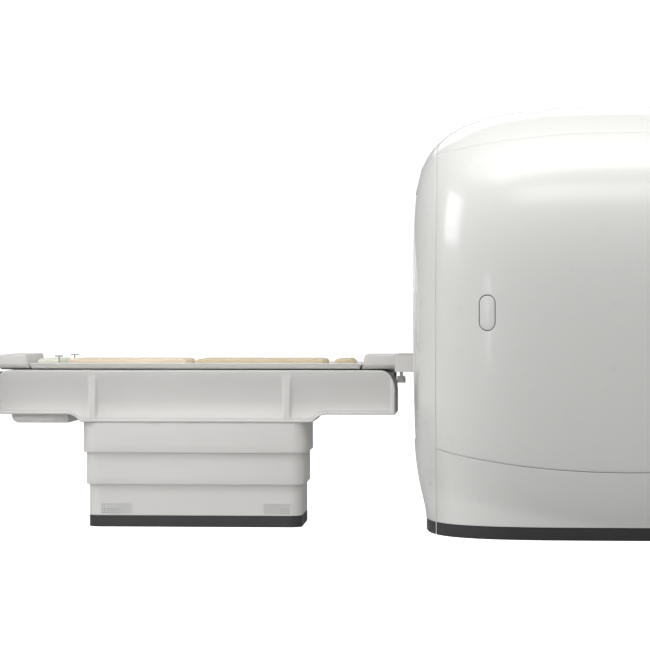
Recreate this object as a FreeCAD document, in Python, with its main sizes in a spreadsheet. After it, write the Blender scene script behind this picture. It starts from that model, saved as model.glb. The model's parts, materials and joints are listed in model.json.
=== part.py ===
"""Closed-bore MRI scanner with its patient table.

Frame: X runs along the table and the bore, +X from the table's foot end to the
rear of the gantry. Z is up from the floor. The origin is on the floor, at the
middle of the overall length and width. Sizes are millimetres.
"""
import FreeCAD
import Part
import Sketcher
import math
import os
import re

V = FreeCAD.Vector
X_AXIS = V(1, 0, 0)
Y_AXIS = V(0, 1, 0)

doc = FreeCAD.newDocument("mri_scanner")

# ---------------------------------------------------------------- driving sizes
SIZES = {
    # gantry, measured from the isocentre
    "gantry_half_length": 1005,
    "gantry_half_width": 990,
    "gantry_height": 2060,
    "bore_height": 1045,
    "barrel_depth": 1150,
    "cover_wall": 8,
    "seam_gap": 3,
    "nose_seam": 890,
    "upper_seam_height": 1900,
    "lower_seam_height": 319,
    "seam_radius": 4300,
    "skirt_half_length": 945,
    "skirt_half_width": 903,
    "gantry_plinth_height": 60,
    "plinth_inset": 3,
    "plinth_wall": 20,
    "cap_offset": 650,
    "cap_width": 77,
    "cap_height": 169,
    "cap_flange": 12,
    # bore stack, radii from the inside out
    "bore_radius": 350,
    "bore_half_length": 620,
    "liner_wall": 3,
    "body_coil_wall": 5.5,
    "body_coil_half_length": 320,
    "gradient_wall": 72,
    "mouth_radius": 496,
    "lip_roll": 24,
    "funnel_wall": 4,
    "vessel_radius": 800,
    "vessel_half_length": 720,
    "vessel_wall": 8,
    "shield_gap": 14,
    "shield_wall": 3,
    "helium_gap": 29,
    "helium_wall": 6,
    "coil_height": 44,
    "shield_coil_height": 34,
    "rod_radius": 9,
    # supports and services
    "frame_depth": 130,
    "frame_thickness": 30,
    "foot_length": 150,
    "foot_width": 200,
    "foot_spacing_x": 450,
    "foot_spacing_y": 300,
    "cold_head_radius": 60,
    "cold_head_height": 170,
    "turret_radius": 80,
    "turret_height": 120,
    # bridge that carries the tabletop through the bore
    "bridge_reach": 1096,
    "mouth_channel_end": 885,
    "channel_half_width": 300,
    "cheek_wall": 28,
    "cheek_top": 849,
    "channel_floor": 7,
    "bridge_wall": 8,
    "runner_height": 5.5,
    "runner_width": 30,
    "runner_spacing": 120,
    # patient table, measured from its middle
    "beam_half_length": 987,
    "bed_height": 779,
    "bed_thickness": 29,
    "bed_half_length": 823,
    "bed_half_width": 250,
    "bed_keel_half_width": 215,
    "dish_depth": 9,
    "pad_thickness": 31,
    "pad_half_width": 218,
    "pad_gap": 15,
    "block_height": 70,
    "block_half_width": 235,
    "beam_height": 217,
    "beam_half_width": 283,
    "beam_waist": 250,
    "saddle_drop": 38,
    "saddle_left": 564,
    "saddle_right": 582,
    "saddle_half_width": 287,
    "saddle_fillet": 70,
    "lip_height": 12,
    "shell_wall": 4,
    "fin_width": 32,
    "fin_left": 502,
    "fin_right": 457,
    "deck_thickness": 8,
    "deck_slot": 16,
    # telescoping pedestal
    "base_half_length": 528,
    "base_half_width": 248.5,
    "base_corner": 60,
    "tier_step": 17,
    "tier_step_x": 14,
    "table_plinth_height": 57,
    "base_cover_top": 224,
    "mid_cover_bottom": 210,
    "mid_cover_top": 388,
    "upper_cover_bottom": 368,
    "column_spacing": 320,
    "column_length": 160,
    "column_width": 120,
    "column_wall": 6,
    "column_gap": 0.5,
    "base_plate": 20,
    "chassis_plate": 12,
    "carrier_plate": 12,
    "vent_pitch_x": 10,
    "vent_pitch_z": 10.5,
    "vent_hole": 4.5,
    "vent_rows": 5,
    "vent_left_columns": 15,
    "vent_right_columns": 13,
    "vent_left": 459,
    "vent_right": 343,
    "vent_bottom": 67,
    # tabletop drive
    "pulley_radius": 30,
    "pulley_width": 40,
    "pulley_height": 700,
    "pulley_offset": 930,
    "belt_thickness": 2.5,
    "belt_width": 30,
    "shaft_radius": 8,
    "rail_spacing": 190,
    "rail_width": 40,
    "motor_radius": 45,
    # shared clearances
    "seat_gap": 0.3,
    "slide_gap": 0.5,
}

sheet = doc.addObject("Spreadsheet::Sheet", "Sizes")
for row, (name, size) in enumerate(SIZES.items(), start=1):
    sheet.set("A%d" % row, name)
    sheet.set("B%d" % row, str(size))
    sheet.setAlias("B%d" % row, name)
doc.recompute()

WORD = re.compile(r"[a-z_]+[a-z]")
nodes = []


def formula(text):
    """Point each size named in the text at its cell."""
    def cell(match):
        word = match.group(0)
        return "Sizes." + word if word in SIZES else word
    return WORD.sub(cell, str(text))


def number(text):
    """The present value of a formula."""
    return float(sheet.evalExpression(str(text)))


# Places that many pieces share.
TABLE_REACH = "(bridge_reach + slide_gap + 2 * beam_half_length)"
ISO_X = "(%s - gantry_half_length) / 2" % TABLE_REACH
TABLE_X = "(%s - bridge_reach - slide_gap - beam_half_length)" % ISO_X
BED_DROP = "(bore_height - bed_height)"
DECK_TOP = "(bed_height - slide_gap - runner_height)"
BEAM_BOTTOM = "(%s - beam_height)" % DECK_TOP
SADDLE_BOTTOM = "(%s - saddle_drop)" % BEAM_BOTTOM
CHASSIS_Z = BEAM_BOTTOM


# ------------------------------------------------------------------ small tools
def bind(thing, **places):
    """Tie properties to formulas: bind(box, Length="a + b")."""
    for prop, text in places.items():
        thing.setExpression(prop.replace("__", "."), formula(text))


def place(thing, x="0", y="0", z="0"):
    for letter, text in (("x", x), ("y", y), ("z", z)):
        thing.setExpression("Placement.Base." + letter, formula(text))


def node(thing, label):
    """Name a finished sub-part and put it on the list to be written."""
    thing.Label = label
    nodes.append(thing)
    return thing


def box(label, x, y, z):
    """A block between pairs of formulas along each axis."""
    block = doc.addObject("Part::Box", label)
    bind(block, Length="%s - (%s)" % (x[1], x[0]), Width="%s - (%s)" % (y[1], y[0]),
         Height="%s - (%s)" % (z[1], z[0]))
    place(block, x[0], y[0], z[0])
    return block


def cylinder(label, radius, length, at, axis="Z"):
    """A round bar that starts at a point and runs along +X, +Y or +Z."""
    bar = doc.addObject("Part::Cylinder", label)
    bind(bar, Radius=radius, Height=length)
    turn = {"X": (Y_AXIS, 90), "Y": (X_AXIS, -90), "Z": (X_AXIS, 0)}[axis]
    bar.Placement = FreeCAD.Placement(V(0, 0, 0), FreeCAD.Rotation(*turn))
    place(bar, *at)
    return bar


def fuse(label, shapes):
    whole = doc.addObject("Part::MultiFuse", label)
    whole.Shapes = shapes
    return whole


def group(label, shapes):
    """Separate solids that share one name."""
    whole = doc.addObject("Part::Compound", label)
    whole.Links = shapes
    return whole


def cut(label, base, tools):
    result = doc.addObject("Part::Cut", label)
    result.Base = base
    result.Tool = tools[0] if len(tools) == 1 else fuse(label + "_tools", tools)
    return result


def common(label, shapes):
    result = doc.addObject("Part::MultiCommon", label)
    result.Shapes = shapes
    return result


def new_body(label, at=("0", "0", "0")):
    body = doc.addObject("PartDesign::Body", label)
    place(body, *at)
    return body


def origin_feature(body, role):
    return [part for part in body.Origin.OriginFeatures if part.Role == role][0]


def new_sketch(body, role, name, offset="0"):
    sketch = body.newObject("Sketcher::SketchObject", name)
    sketch.AttachmentSupport = [(origin_feature(body, role), "")]
    sketch.MapMode = "FlatFace"
    sketch.setExpression("AttachmentOffset.Base.z", formula(offset))
    return sketch


def arc_between(start, end, radius, side):
    """The short arc over a chord, bulging to its right (+1) or left (-1)."""
    chord = end - start
    across = V(chord.y, -chord.x, 0).normalize() * side
    middle = (start + end) * 0.5 - across * math.sqrt(max(radius ** 2 - chord.Length ** 2 / 4, 0))
    if (start - middle).cross(across).z < 0:
        start, end = end, start
    angles = [math.atan2(spot.y - middle.y, spot.x - middle.x) for spot in (start, end)]
    if angles[1] < angles[0]:
        angles[1] += 2 * math.pi
    return Part.ArcOfCircle(Part.Circle(middle, V(0, 0, 1), radius), angles[0], angles[1])


def outline(sketch, corners, arcs=None):
    """Draw a closed loop; arcs maps an edge to (radius, +1 bulge right or -1 left)."""
    arcs = arcs or {}
    first = sketch.GeometryCount
    spots = [V(number(u), number(v), 0) for u, v in corners]
    count = len(spots)
    for i in range(count):
        start = spots[i]
        end = spots[(i + 1) % count]
        if i in arcs:
            sketch.addGeometry(arc_between(start, end, number(arcs[i][0]), arcs[i][1]), False)
        else:
            sketch.addGeometry(Part.LineSegment(start, end), False)
    curve = [sketch.Geometry[first + i] for i in range(count)]
    # arcs run counter-clockwise, so one that turns the other way has its ends swapped
    head = [1 if (curve[i].StartPoint - spots[i]).Length < 1e-6 else 2 for i in range(count)]
    for i in range(count):
        j = (i + 1) % count
        sketch.addConstraint(
            Sketcher.Constraint("Coincident", first + i, 3 - head[i], first + j, head[j]))
        for kind, text, size in (("DistanceX", corners[i][0], spots[i].x),
                                 ("DistanceY", corners[i][1], spots[i].y)):
            index = sketch.addConstraint(
                Sketcher.Constraint(kind, -1, 1, first + i, head[i], size))
            sketch.setExpression("Constraints[%d]" % index, formula(text))
        if i in arcs:
            radius = number(arcs[i][0])
            if abs(2 * radius - (spots[j] - spots[i]).Length) < 1e-6:
                # a half circle is held by its centre, level with the ends of its chord
                upright = abs(spots[j].x - spots[i].x) < 1e-6
                kind = "DistanceX" if upright else "DistanceY"
                text = corners[i][0] if upright else corners[i][1]
                size = spots[i].x if upright else spots[i].y
                index = sketch.addConstraint(
                    Sketcher.Constraint(kind, -1, 1, first + i, 3, size))
                sketch.setExpression("Constraints[%d]" % index, formula(text))
            else:
                index = sketch.addConstraint(Sketcher.Constraint("Radius", first + i, radius))
                sketch.setExpression("Constraints[%d]" % index, formula(arcs[i][0]))


def rectangle(sketch, u0, u1, v0, v1):
    outline(sketch, [(u0, v0), (u1, v0), (u1, v1), (u0, v1)])


def rounded(sketch, half_u, half_v, radius):
    """A centred rectangle with round corners."""
    u, v, r = "(%s)" % half_u, "(%s)" % half_v, "(%s)" % radius
    inner_u = "(%s - %s)" % (u, r)
    inner_v = "(%s - %s)" % (v, r)
    corners = [("-" + inner_u, "-" + v), (inner_u, "-" + v), (u, "-" + inner_v), (u, inner_v),
               (inner_u, v), ("-" + inner_u, v), ("-" + u, inner_v), ("-" + u, "-" + inner_v)]
    outline(sketch, corners, {1: (r, 1), 3: (r, 1), 5: (r, 1), 7: (r, 1)})


def pad(body, sketch, length, symmetric=False, name="Pad"):
    feature = body.newObject("PartDesign::Pad", name)
    feature.Profile = sketch
    if symmetric:
        feature.SideType = "Symmetric"
    feature.setExpression("Length", formula(length))
    sketch.Visibility = False
    return feature


def prism(label, role, corners, length, at=("0", "0", "0"), arcs=None, symmetric=True):
    """A straight extrusion of one outline."""
    body = new_body(label, at)
    sketch = new_sketch(body, role, label + "_outline")
    outline(sketch, corners, arcs)
    pad(body, sketch, length, symmetric)
    return body


def revolve_about_bore(label, loops, at_x=ISO_X):
    """Turn (x, r) outlines about the bore axis."""
    body = new_body(label, (at_x, "0", "bore_height"))
    sketch = new_sketch(body, "XZ_Plane", label + "_section")
    for loop in loops:
        outline(sketch, loop)
    turned = body.newObject("PartDesign::Revolution", label + "_turn")
    turned.Profile = sketch
    turned.ReferenceAxis = (origin_feature(body, "X_Axis"), [""])
    turned.Angle = 360
    return body


def ring(x0, x1, r0, r1):
    return [(x0, r0), (x1, r0), (x1, r1), (x0, r1)]


def tier(label, grow, bottom, top, wall="shell_wall"):
    """One telescoping cover: an upright sleeve with round corners."""
    body = new_body(label, (TABLE_X, "0", bottom))
    sketch = new_sketch(body, "XY_Plane", label + "_plan")
    half_x = "base_half_length + %s * tier_step_x" % grow
    half_y = "base_half_width + %s * tier_step" % grow
    corner = "base_corner + %s * tier_step / 2" % grow
    rounded(sketch, half_x, half_y, corner)
    rounded(sketch, "%s - %s" % (half_x, wall), "%s - %s" % (half_y, wall),
            "%s - %s" % (corner, wall))
    pad(body, sketch, "%s - (%s)" % (top, bottom))
    return body


def written_feature(label, shape):
    """A form built from surfaces; its own frame is the isocentre."""
    feature = doc.addObject("Part::Feature", label)
    feature.Shape = shape
    isocentre = FreeCAD.Placement(V(number(ISO_X), 0, number("bore_height")), FreeCAD.Rotation())
    feature.Placement = isocentre.multiply(shape.Placement)
    return feature


# --------------------------------------------------------- magnet and bore stack
GRADIENT_IN = "(bore_radius + liner_wall + body_coil_wall + 2 * slide_gap)"
GRADIENT_OUT = "(%s + gradient_wall)" % GRADIENT_IN
WARM = "(%s + slide_gap)" % GRADIENT_OUT
SHIELD_IN = "(%s + vessel_wall + shield_gap)" % WARM
SHIELD_OUT = "(vessel_radius - vessel_wall - shield_gap)"
SHIELD_X = "(vessel_half_length - vessel_wall - shield_gap)"
HELIUM_IN = "(%s + vessel_wall + helium_gap)" % WARM
HELIUM_OUT = "(vessel_radius - vessel_wall - helium_gap)"
HELIUM_X = "(vessel_half_length - vessel_wall - helium_gap)"


def closed_drum(label, half, inner, outer, wall):
    """A ring-shaped tank with walls all round and a sealed space inside."""
    return revolve_about_bore(label, [
        ring("-" + half, half, inner, outer),
        ring("-(%s - %s)" % (half, wall), "%s - %s" % (half, wall),
             "%s + %s" % (inner, wall), "%s - %s" % (outer, wall))])


node(revolve_about_bore("patient_bore_tube", [
    ring("-bore_half_length", "bore_half_length", "bore_radius", "bore_radius + liner_wall")]),
    "patient_bore_tube")
node(revolve_about_bore("rf_body_coil", [
    ring("-body_coil_half_length", "body_coil_half_length",
         "bore_radius + liner_wall + slide_gap",
         "bore_radius + liner_wall + slide_gap + body_coil_wall")]), "rf_body_coil")
node(revolve_about_bore("gradient_coil", [
    ring("-bore_half_length", "bore_half_length", GRADIENT_IN, GRADIENT_OUT)]),
    "gradient_coil")
node(closed_drum("helium_vessel", HELIUM_X, HELIUM_IN, HELIUM_OUT, "helium_wall"),
     "helium_vessel")

# Main coils lie on the helium vessel's inner wall, shield coils inside its outer wall.
COIL_IN = "(%s + helium_wall + seat_gap)" % HELIUM_IN
COIL_OUT = "(%s - helium_wall - seat_gap)" % HELIUM_OUT
coil_loops = []
for middle, half in ((0.10, 45), (0.36, 60), (0.80, 80)):
    for side in ("-", ""):
        low = "%s(%s * %s) - %s" % (side, middle, HELIUM_X, half)
        high = "%s(%s * %s) + %s" % (side, middle, HELIUM_X, half)
        coil_loops.append(ring(low, high, COIL_IN, COIL_IN + " + coil_height"))
for side in ("-", ""):
    low = "%s(0.78 * %s) - 70" % (side, HELIUM_X)
    high = "%s(0.78 * %s) + 70" % (side, HELIUM_X)
    coil_loops.append(ring(low, high, COIL_OUT + " - shield_coil_height", COIL_OUT))
node(revolve_about_bore("superconducting_coils", coil_loops), "superconducting_coils")

# Eight rods hang the helium vessel inside the vacuum vessel, through the shield.
ROD_START = "(%s + seat_gap)" % HELIUM_OUT
ROD_LENGTH = "(helium_gap - 2 * seat_gap)"


def rods(label, radius, grow):
    """Radial bars at four clock positions, near both ends of the vessel."""
    bars = []
    for side in ("-", ""):
        for step in range(4):
            angle = 45 + 90 * step
            bar = doc.addObject("Part::Cylinder", "%s_bar" % label)
            bind(bar, Radius=radius, Height="%s + 2 * %s" % (ROD_LENGTH, grow))
            bar.Placement = FreeCAD.Placement(
                V(0, 0, 0), FreeCAD.Rotation(X_AXIS, angle))
            out = "(%s - %s)" % (ROD_START, grow)
            place(bar, "%s + %s0.85 * %s" % (ISO_X, side, HELIUM_X),
                  "-(%s) * sin(%d)" % (out, angle),
                  "bore_height + (%s) * cos(%d)" % (out, angle))
            bars.append(bar)
    return bars


node(group("suspension_rods", rods("rod", "rod_radius", "0")), "suspension_rods")
shield_drum = closed_drum("shield_drum", SHIELD_X, SHIELD_IN, SHIELD_OUT, "shield_wall")
node(cut("thermal_shield", shield_drum, rods("rod_hole", "rod_radius + seat_gap", "20")),
     "thermal_shield")

# Four feet stand on the floor and follow the drum's underside.
feet = []
for x_side in ("-", ""):
    for y_side in ("-", ""):
        x_mid = "(%s + %sfoot_spacing_x)" % (ISO_X, x_side)
        y_mid = "(%sfoot_spacing_y)" % y_side
        feet.append(box("magnet_foot", ("%s - foot_length / 2" % x_mid, "%s + foot_length / 2" % x_mid),
                        ("%s - foot_width / 2" % y_mid, "%s + foot_width / 2" % y_mid),
                        ("0", "bore_height - vessel_radius / 2")))


def drum_tool(label):
    """The vessel's outer cylinder with a seating gap, to cut what sits on it."""
    return cylinder(label, "vessel_radius + seat_gap", "2 * vessel_half_length",
                    ("%s - vessel_half_length" % ISO_X, "0", "bore_height"), "X")


node(cut("magnet_feet", group("magnet_foot_set", feet), [drum_tool("foot_cutter")]), "magnet_feet")

# The cold head and the service turret stand on the drum, towards the rear.
DRUM_TOP = "(bore_height + vessel_radius)"
cold_head = fuse("cold_head_whole", [
    cylinder("cold_head_can", "cold_head_radius", "cold_head_height / 2 + 60",
             ("%s + 300" % ISO_X, "0", "%s - 60" % DRUM_TOP)),
    cylinder("cold_head_flange", "cold_head_radius + 25", "12",
             ("%s + 300" % ISO_X, "0", "%s + 14" % DRUM_TOP)),
    cylinder("cold_head_motor", "cold_head_radius * 0.7", "cold_head_height",
             ("%s + 300" % ISO_X, "0", DRUM_TOP))])
node(cut("cold_head", cold_head, [drum_tool("cold_head_cutter")]), "cold_head")
turret = fuse("turret_whole", [
    cylinder("turret_can", "turret_radius", "turret_height + 60",
             ("%s + 520" % ISO_X, "0", "%s - 60" % DRUM_TOP)),
    cylinder("turret_lid", "turret_radius + 12", "14",
             ("%s + 520" % ISO_X, "0", "%s + turret_height - 14" % DRUM_TOP))])
vessel_drum = closed_drum("vessel_drum", "vessel_half_length", WARM, "vessel_radius",
                          "vessel_wall")
turret_foot = cut("turret_foot", turret, [cylinder(
    "turret_cutter", "vessel_radius - vessel_wall / 2", "2 * vessel_half_length",
    ("%s - vessel_half_length" % ISO_X, "0", "bore_height"), "X")])
node(fuse("vacuum_vessel", [vessel_drum, turret_foot]), "vacuum_vessel")

# ----------------------------------------------------------------- gantry covers
half_length = number("gantry_half_length")
half_width = number("gantry_half_width")
rise = number("gantry_height - bore_height")
floor_z = -number("bore_height")


def superellipse(p, steps=10):
    """Points of a quarter turn on |c|^p + |s|^p = 1, evenly spaced in angle."""
    points = []
    for i in range(steps):
        angle = math.pi / 2 * i / steps
        c, s = math.cos(angle), math.sin(angle)
        r = (c ** p + s ** p) ** (-1 / p)
        points.append((r * c, r * s))
    return points


def closed_curve(points):
    """A smooth closed wire through points."""
    curve = Part.BSplineCurve()
    curve.interpolate(Points=points, PeriodicFlag=True,
                      Parameters=[float(k) for k in range(len(points) + 1)])
    return Part.Wire(curve.toShape())


def barrel_section(x, half_y, up, down, low_squareness):
    """A cross-section that is rounder above the bore than below it."""
    above = superellipse(3.2)
    below = superellipse(low_squareness)
    points = [V(x, half_y * c, up * s) for c, s in above]
    points += [V(x, -half_y * s, up * c) for c, s in above]
    points += [V(x, -half_y * c, -down * s) for c, s in below]
    points += [V(x, half_y * s, -down * c) for c, s in below]
    return closed_curve(points)


def barrel(inset):
    """The rounded drum form of the covers, drawn in by an inset."""
    stations = 8
    reach = half_length - inset
    sections = []
    for k in range(-stations, stations + 1):
        x = math.sin(k / stations * math.pi / 2 * 0.965) / math.sin(math.pi / 2 * 0.965)
        t = min(abs(x), 0.9985)
        width_share = (1 - t ** 3.9) ** (1 / 3.9)
        height_share = (1 - t ** 2.8) ** (1 / 6.5)
        sections.append(barrel_section(
            x * reach, (half_width - inset) * width_share,
            (rise - inset) * height_share, (number("barrel_depth") - inset) * height_share,
            5.4 - 2.6 * t ** 1.5))
    return Part.makeLoft(sections, True, False)


def skirt(inset, bottom, top, exponent=3.9):
    """The upright base wall that the barrel overhangs."""
    a = number("skirt_half_length") - inset
    b = number("skirt_half_width") - inset
    quarter = superellipse(exponent)
    points = [V(a * c, b * s, 0) for c, s in quarter]
    points += [V(-a * s, b * c, 0) for c, s in quarter]
    points += [V(-a * c, -b * s, 0) for c, s in quarter]
    points += [V(a * s, -b * c, 0) for c, s in quarter]
    face = Part.Face(closed_curve(points))
    face.translate(V(0, 0, floor_z + bottom))
    return face.extrude(V(0, 0, top - bottom))


def hollow(outer, inner):
    """A shell between two nested closed forms."""
    return Part.makeSolid(Part.makeCompound([outer.Shells[0], inner.Shells[0].reversed()]))


def slab(x0, x1, z0=-3000, z1=3000):
    return Part.makeBox(x1 - x0, 6000, z1 - z0, V(x0, -3000, z0))


def seam_drum(low_or_high, clear):
    """A wide cylinder across the gantry whose edge is one of the long seams."""
    radius = number("seam_radius") - clear
    crown = number("upper_seam_height") if low_or_high == "high" else number("lower_seam_height")
    middle = crown - number("seam_radius") if low_or_high == "high" \
        else crown + number("seam_radius")
    return Part.makeCylinder(radius, 6000, V(0, -3000, floor_z + middle), Y_AXIS)


def stadium(width, height, y0, y1):
    """An upright slot shape through the side wall."""
    r = width / 2
    z_mid = 9
    x_mid = -number("cap_offset")
    straight = Part.makeBox(width, y1 - y0, height - width,
                            V(x_mid - r, y0, z_mid - (height - width) / 2))
    ends = [Part.makeCylinder(r, y1 - y0, V(x_mid, y0, z_mid + side * (height - width) / 2),
                              Y_AXIS) for side in (-1, 1)]
    return straight.fuse(ends).removeSplitter()


wall = number("cover_wall")
plinth = number("gantry_plinth_height")
seam = number("nose_seam")
gap = number("seam_gap") / 2
outer_form = barrel(0).common(slab(-3000, 3000, floor_z - 60)).fuse(skirt(0, -60, 430))
inner_form = barrel(wall).common(slab(-3000, 3000, floor_z - 52)).fuse(
    skirt(wall, -52, 430 - wall))
shell = hollow(outer_form, inner_form).common(
    slab(-3000, 3000, floor_z + plinth + number("seat_gap")))

middle_ring = shell.common(slab(-seam + gap, seam - gap))
side_walls = middle_ring.common(seam_drum("high", gap)).common(seam_drum("low", gap))
top_wall = middle_ring.cut(seam_drum("high", -gap))
low_walls = middle_ring.cut(seam_drum("low", -gap))
bezel_hole = Part.makeCylinder(
    number("mouth_radius + lip_roll + slide_gap"), 6000, V(-3000, 0, 0), X_AXIS)


def near_solid(shape):
    return min(shape.Solids, key=lambda solid: solid.CenterOfMass.y)


def far_solid(shape):
    return max(shape.Solids, key=lambda solid: solid.CenterOfMass.y)


def biggest(shape):
    return max(shape.Solids, key=lambda solid: solid.Volume)


# Each side panel has a flush access cap, held by a flange behind the wall.
cap_w = number("cap_width")
cap_h = number("cap_height")
flange = number("cap_flange")
seat = number("seat_gap")
near_wall = near_solid(side_walls)
local = Part.makeBox(cap_w + 4 * flange, 2000, cap_h + 4 * flange,
                     V(-number("cap_offset") - cap_w / 2 - 2 * flange, -2000,
                       9 - cap_h / 2 - 2 * flange))
cap_plug = outer_form.common(local).cut(inner_form).common(
    stadium(cap_w, cap_h, -1000, -500))
flange_layer = barrel(wall + seat).common(local).cut(barrel(wall + 5))
cap_flange = flange_layer.common(
    stadium(cap_w + 2 * flange, cap_h + 2 * flange, -1000, -500))
bridge_layer = barrel(wall - 1).common(local).cut(barrel(wall + 3)).common(
    stadium(cap_w, cap_h, -1000, -500))
cap_near = biggest(cap_plug.fuse([bridge_layer, cap_flange]))
panel_near = biggest(near_wall.cut(stadium(cap_w + 1, cap_h + 1, -1000, -500)))
mirrored = FreeCAD.Matrix()
mirrored.scale(V(1, -1, 1))


def far_side(shape):
    """The same piece on the other side of the gantry."""
    return shape.mirror(V(0, 0, 0), Y_AXIS)


# The operator pod sits on the flared near side of the front mouth.
POD_X = -925
POD_Y = -440


def pod_box(length, depth, height):
    """A block turned to face the operator at the mouth."""
    block = Part.makeBox(depth, length, height, V(-depth / 2, -length / 2, 20 - height / 2))
    block.Placement = FreeCAD.Placement(V(POD_X, POD_Y, 0), FreeCAD.Rotation(V(0, 0, 1), -45))
    return block


# The touch display lies flush above the mouth, leaning back with the cover.
def display_box(grow, depth):
    block = Part.makeBox(depth, 240 + 2 * grow, 140 + 2 * grow,
                         V(0, -120 - grow, -70 - grow))
    lean = FreeCAD.Rotation(Y_AXIS, 13)
    block.Placement = FreeCAD.Placement(V(-979, 0, 665), lean)
    return block


nose = shell.common(slab(-half_length, -seam - gap)).cut(bezel_hole)
tail = shell.common(slab(seam + gap, half_length)).cut(bezel_hole)
front_cover = biggest(nose.cut(display_box(number("slide_gap"), 60)))
rear_cover = biggest(tail)

node(written_feature("front_cover", front_cover), "front_cover")
node(written_feature("rear_cover", rear_cover), "rear_cover")
node(written_feature("side_panel_near", panel_near), "side_panel_near")
node(written_feature("side_panel_far", far_side(panel_near)), "side_panel_far")
node(written_feature("top_cover", biggest(top_wall)), "top_cover")
node(written_feature("lower_panel_near", near_solid(low_walls)), "lower_panel_near")
node(written_feature("lower_panel_far", far_solid(low_walls)), "lower_panel_far")
node(written_feature("access_caps", Part.makeCompound([cap_near, far_side(cap_near)])),
     "access_caps")
node(written_feature("touch_display", display_box(0, 14)), "touch_display")

# The plinth is four pieces, split where the covers split.
inset = number("plinth_inset")
plinth_ring = skirt(inset, 0, plinth).cut(skirt(inset + number("plinth_wall"), -1, plinth + 1))
plinth_split = [slab(-seam - gap, -seam + gap), slab(seam - gap, seam + gap)]
node(written_feature("gantry_plinth", plinth_ring.cut(plinth_split)), "gantry_plinth")

# Two hoops carry the covers; each stands on the floor against the magnet's end.
hoop_form = hollow(barrel(wall + number("slide_gap")),
                   barrel(wall + number("frame_depth")))
hoops = []
hoop_start = number("vessel_half_length + slide_gap")
for side in (-1, 1):
    start = hoop_start if side > 0 else -hoop_start - number("frame_thickness")
    hoops.append(hoop_form.common(slab(start, start + number("frame_thickness"), floor_z)))
node(written_feature("cover_frames", Part.makeCompound(hoops)), "cover_frames")

# ------------------------------------------------------------------ bore mouths
LIP_X = "(gantry_half_length - 3)"
LIP_BACK = "(gantry_half_length - 15)"


def funnel(label):
    """A trumpet from the bore to the face, with its rim rolled back over the cover."""
    body = new_body(label, (ISO_X, "0", "bore_height"))
    sketch = new_sketch(body, "XZ_Plane", label + "_section")
    side = "-" if label.startswith("front") else ""
    throat = "(bore_half_length + seat_gap)"
    skirt_end = "(nose_seam + seam_gap)"
    outer_rim = "(mouth_radius + lip_roll)"
    corners = [
        (side + throat, "bore_radius"),
        (side + LIP_BACK, "mouth_radius"),
        (side + LIP_X, "mouth_radius + 8"),
        (side + LIP_X, outer_rim + " - 8"),
        (side + LIP_BACK, outer_rim),
        (side + skirt_end, outer_rim),
        (side + skirt_end, outer_rim + " - funnel_wall"),
        (side + "(gantry_half_length - 20)", outer_rim + " - funnel_wall"),
        (side + "(gantry_half_length - 20)", "mouth_radius + funnel_wall + 1.2"),
        (side + throat, "bore_radius + funnel_wall")]
    # the flare leaves the bore along its axis: radius from its length and its rise
    run = "(%s - %s)" % (LIP_BACK, throat)
    flare_rise = "(mouth_radius - bore_radius)"
    flare = "((%s)^2 + (%s)^2) / (2 * %s)" % (run, flare_rise, flare_rise)
    back_run = "(gantry_half_length - 20 - %s)" % throat
    back_rise = "(mouth_radius + 1.2 - bore_radius)"
    back = "((%s)^2 + (%s)^2) / (2 * %s)" % (back_run, back_rise, back_rise)
    turn = 1 if side == "" else -1
    outline(sketch, corners, {0: (flare, turn), 8: (back, -turn)})
    turned = body.newObject("PartDesign::Revolution", label + "_turn")
    turned.Profile = sketch
    turned.ReferenceAxis = (origin_feature(body, "X_Axis"), [""])
    turned.Angle = 360
    return body


pod_gap = 2 * number("slide_gap")
pod_hole = written_feature("pod_hole", pod_box(72 + pod_gap, 60 + pod_gap, 190 + pod_gap))
node(cut("front_funnel", funnel("front_trumpet"), [pod_hole]), "front_funnel")
node(funnel("rear_funnel"), "rear_funnel")

# The pod holds an emergency stop and two arrow buttons that move the table.
BUTTONS = (("estop", 75, 15, 9), ("up_button", 20, 10, 6), ("down_button", -25, 10, 6))
facing = FreeCAD.Rotation(V(0, 0, 1), -45)
inward = facing.multVec(V(1, 0, 0))
pod = pod_box(72, 60, 190)
for button, height, radius, proud in BUTTONS:
    face_spot = V(POD_X, POD_Y, height) - inward * 30
    pod = pod.cut(Part.makeCylinder(radius + number("slide_gap"), 16, face_spot - inward, inward))
    stem = Part.makeCylinder(radius, proud + 8, face_spot - inward * proud, inward)
    node(written_feature(button, stem), button)
node(written_feature("control_panel", pod), "control_panel")

# The light strip lies along the crown of the bore; the laser box hangs on the magnet.
crown_strip = Part.makeCylinder(number("bore_radius - seat_gap"),
                                2 * number("bore_half_length") - 200,
                                V(100 - number("bore_half_length"), 0, 0), X_AXIS)
crown_strip = crown_strip.common(
    Part.makeBox(3000, 36, 100, V(-1500, -18, number("bore_radius - 6"))))
node(written_feature("bore_light", crown_strip), "bore_light")
node(box("laser_module",
         ("%s - vessel_half_length - slide_gap - 40" % ISO_X,
          "%s - vessel_half_length - slide_gap" % ISO_X),
         ("-60", "60"), ("bore_height + 500", "bore_height + 560")), "laser_module")

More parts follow.
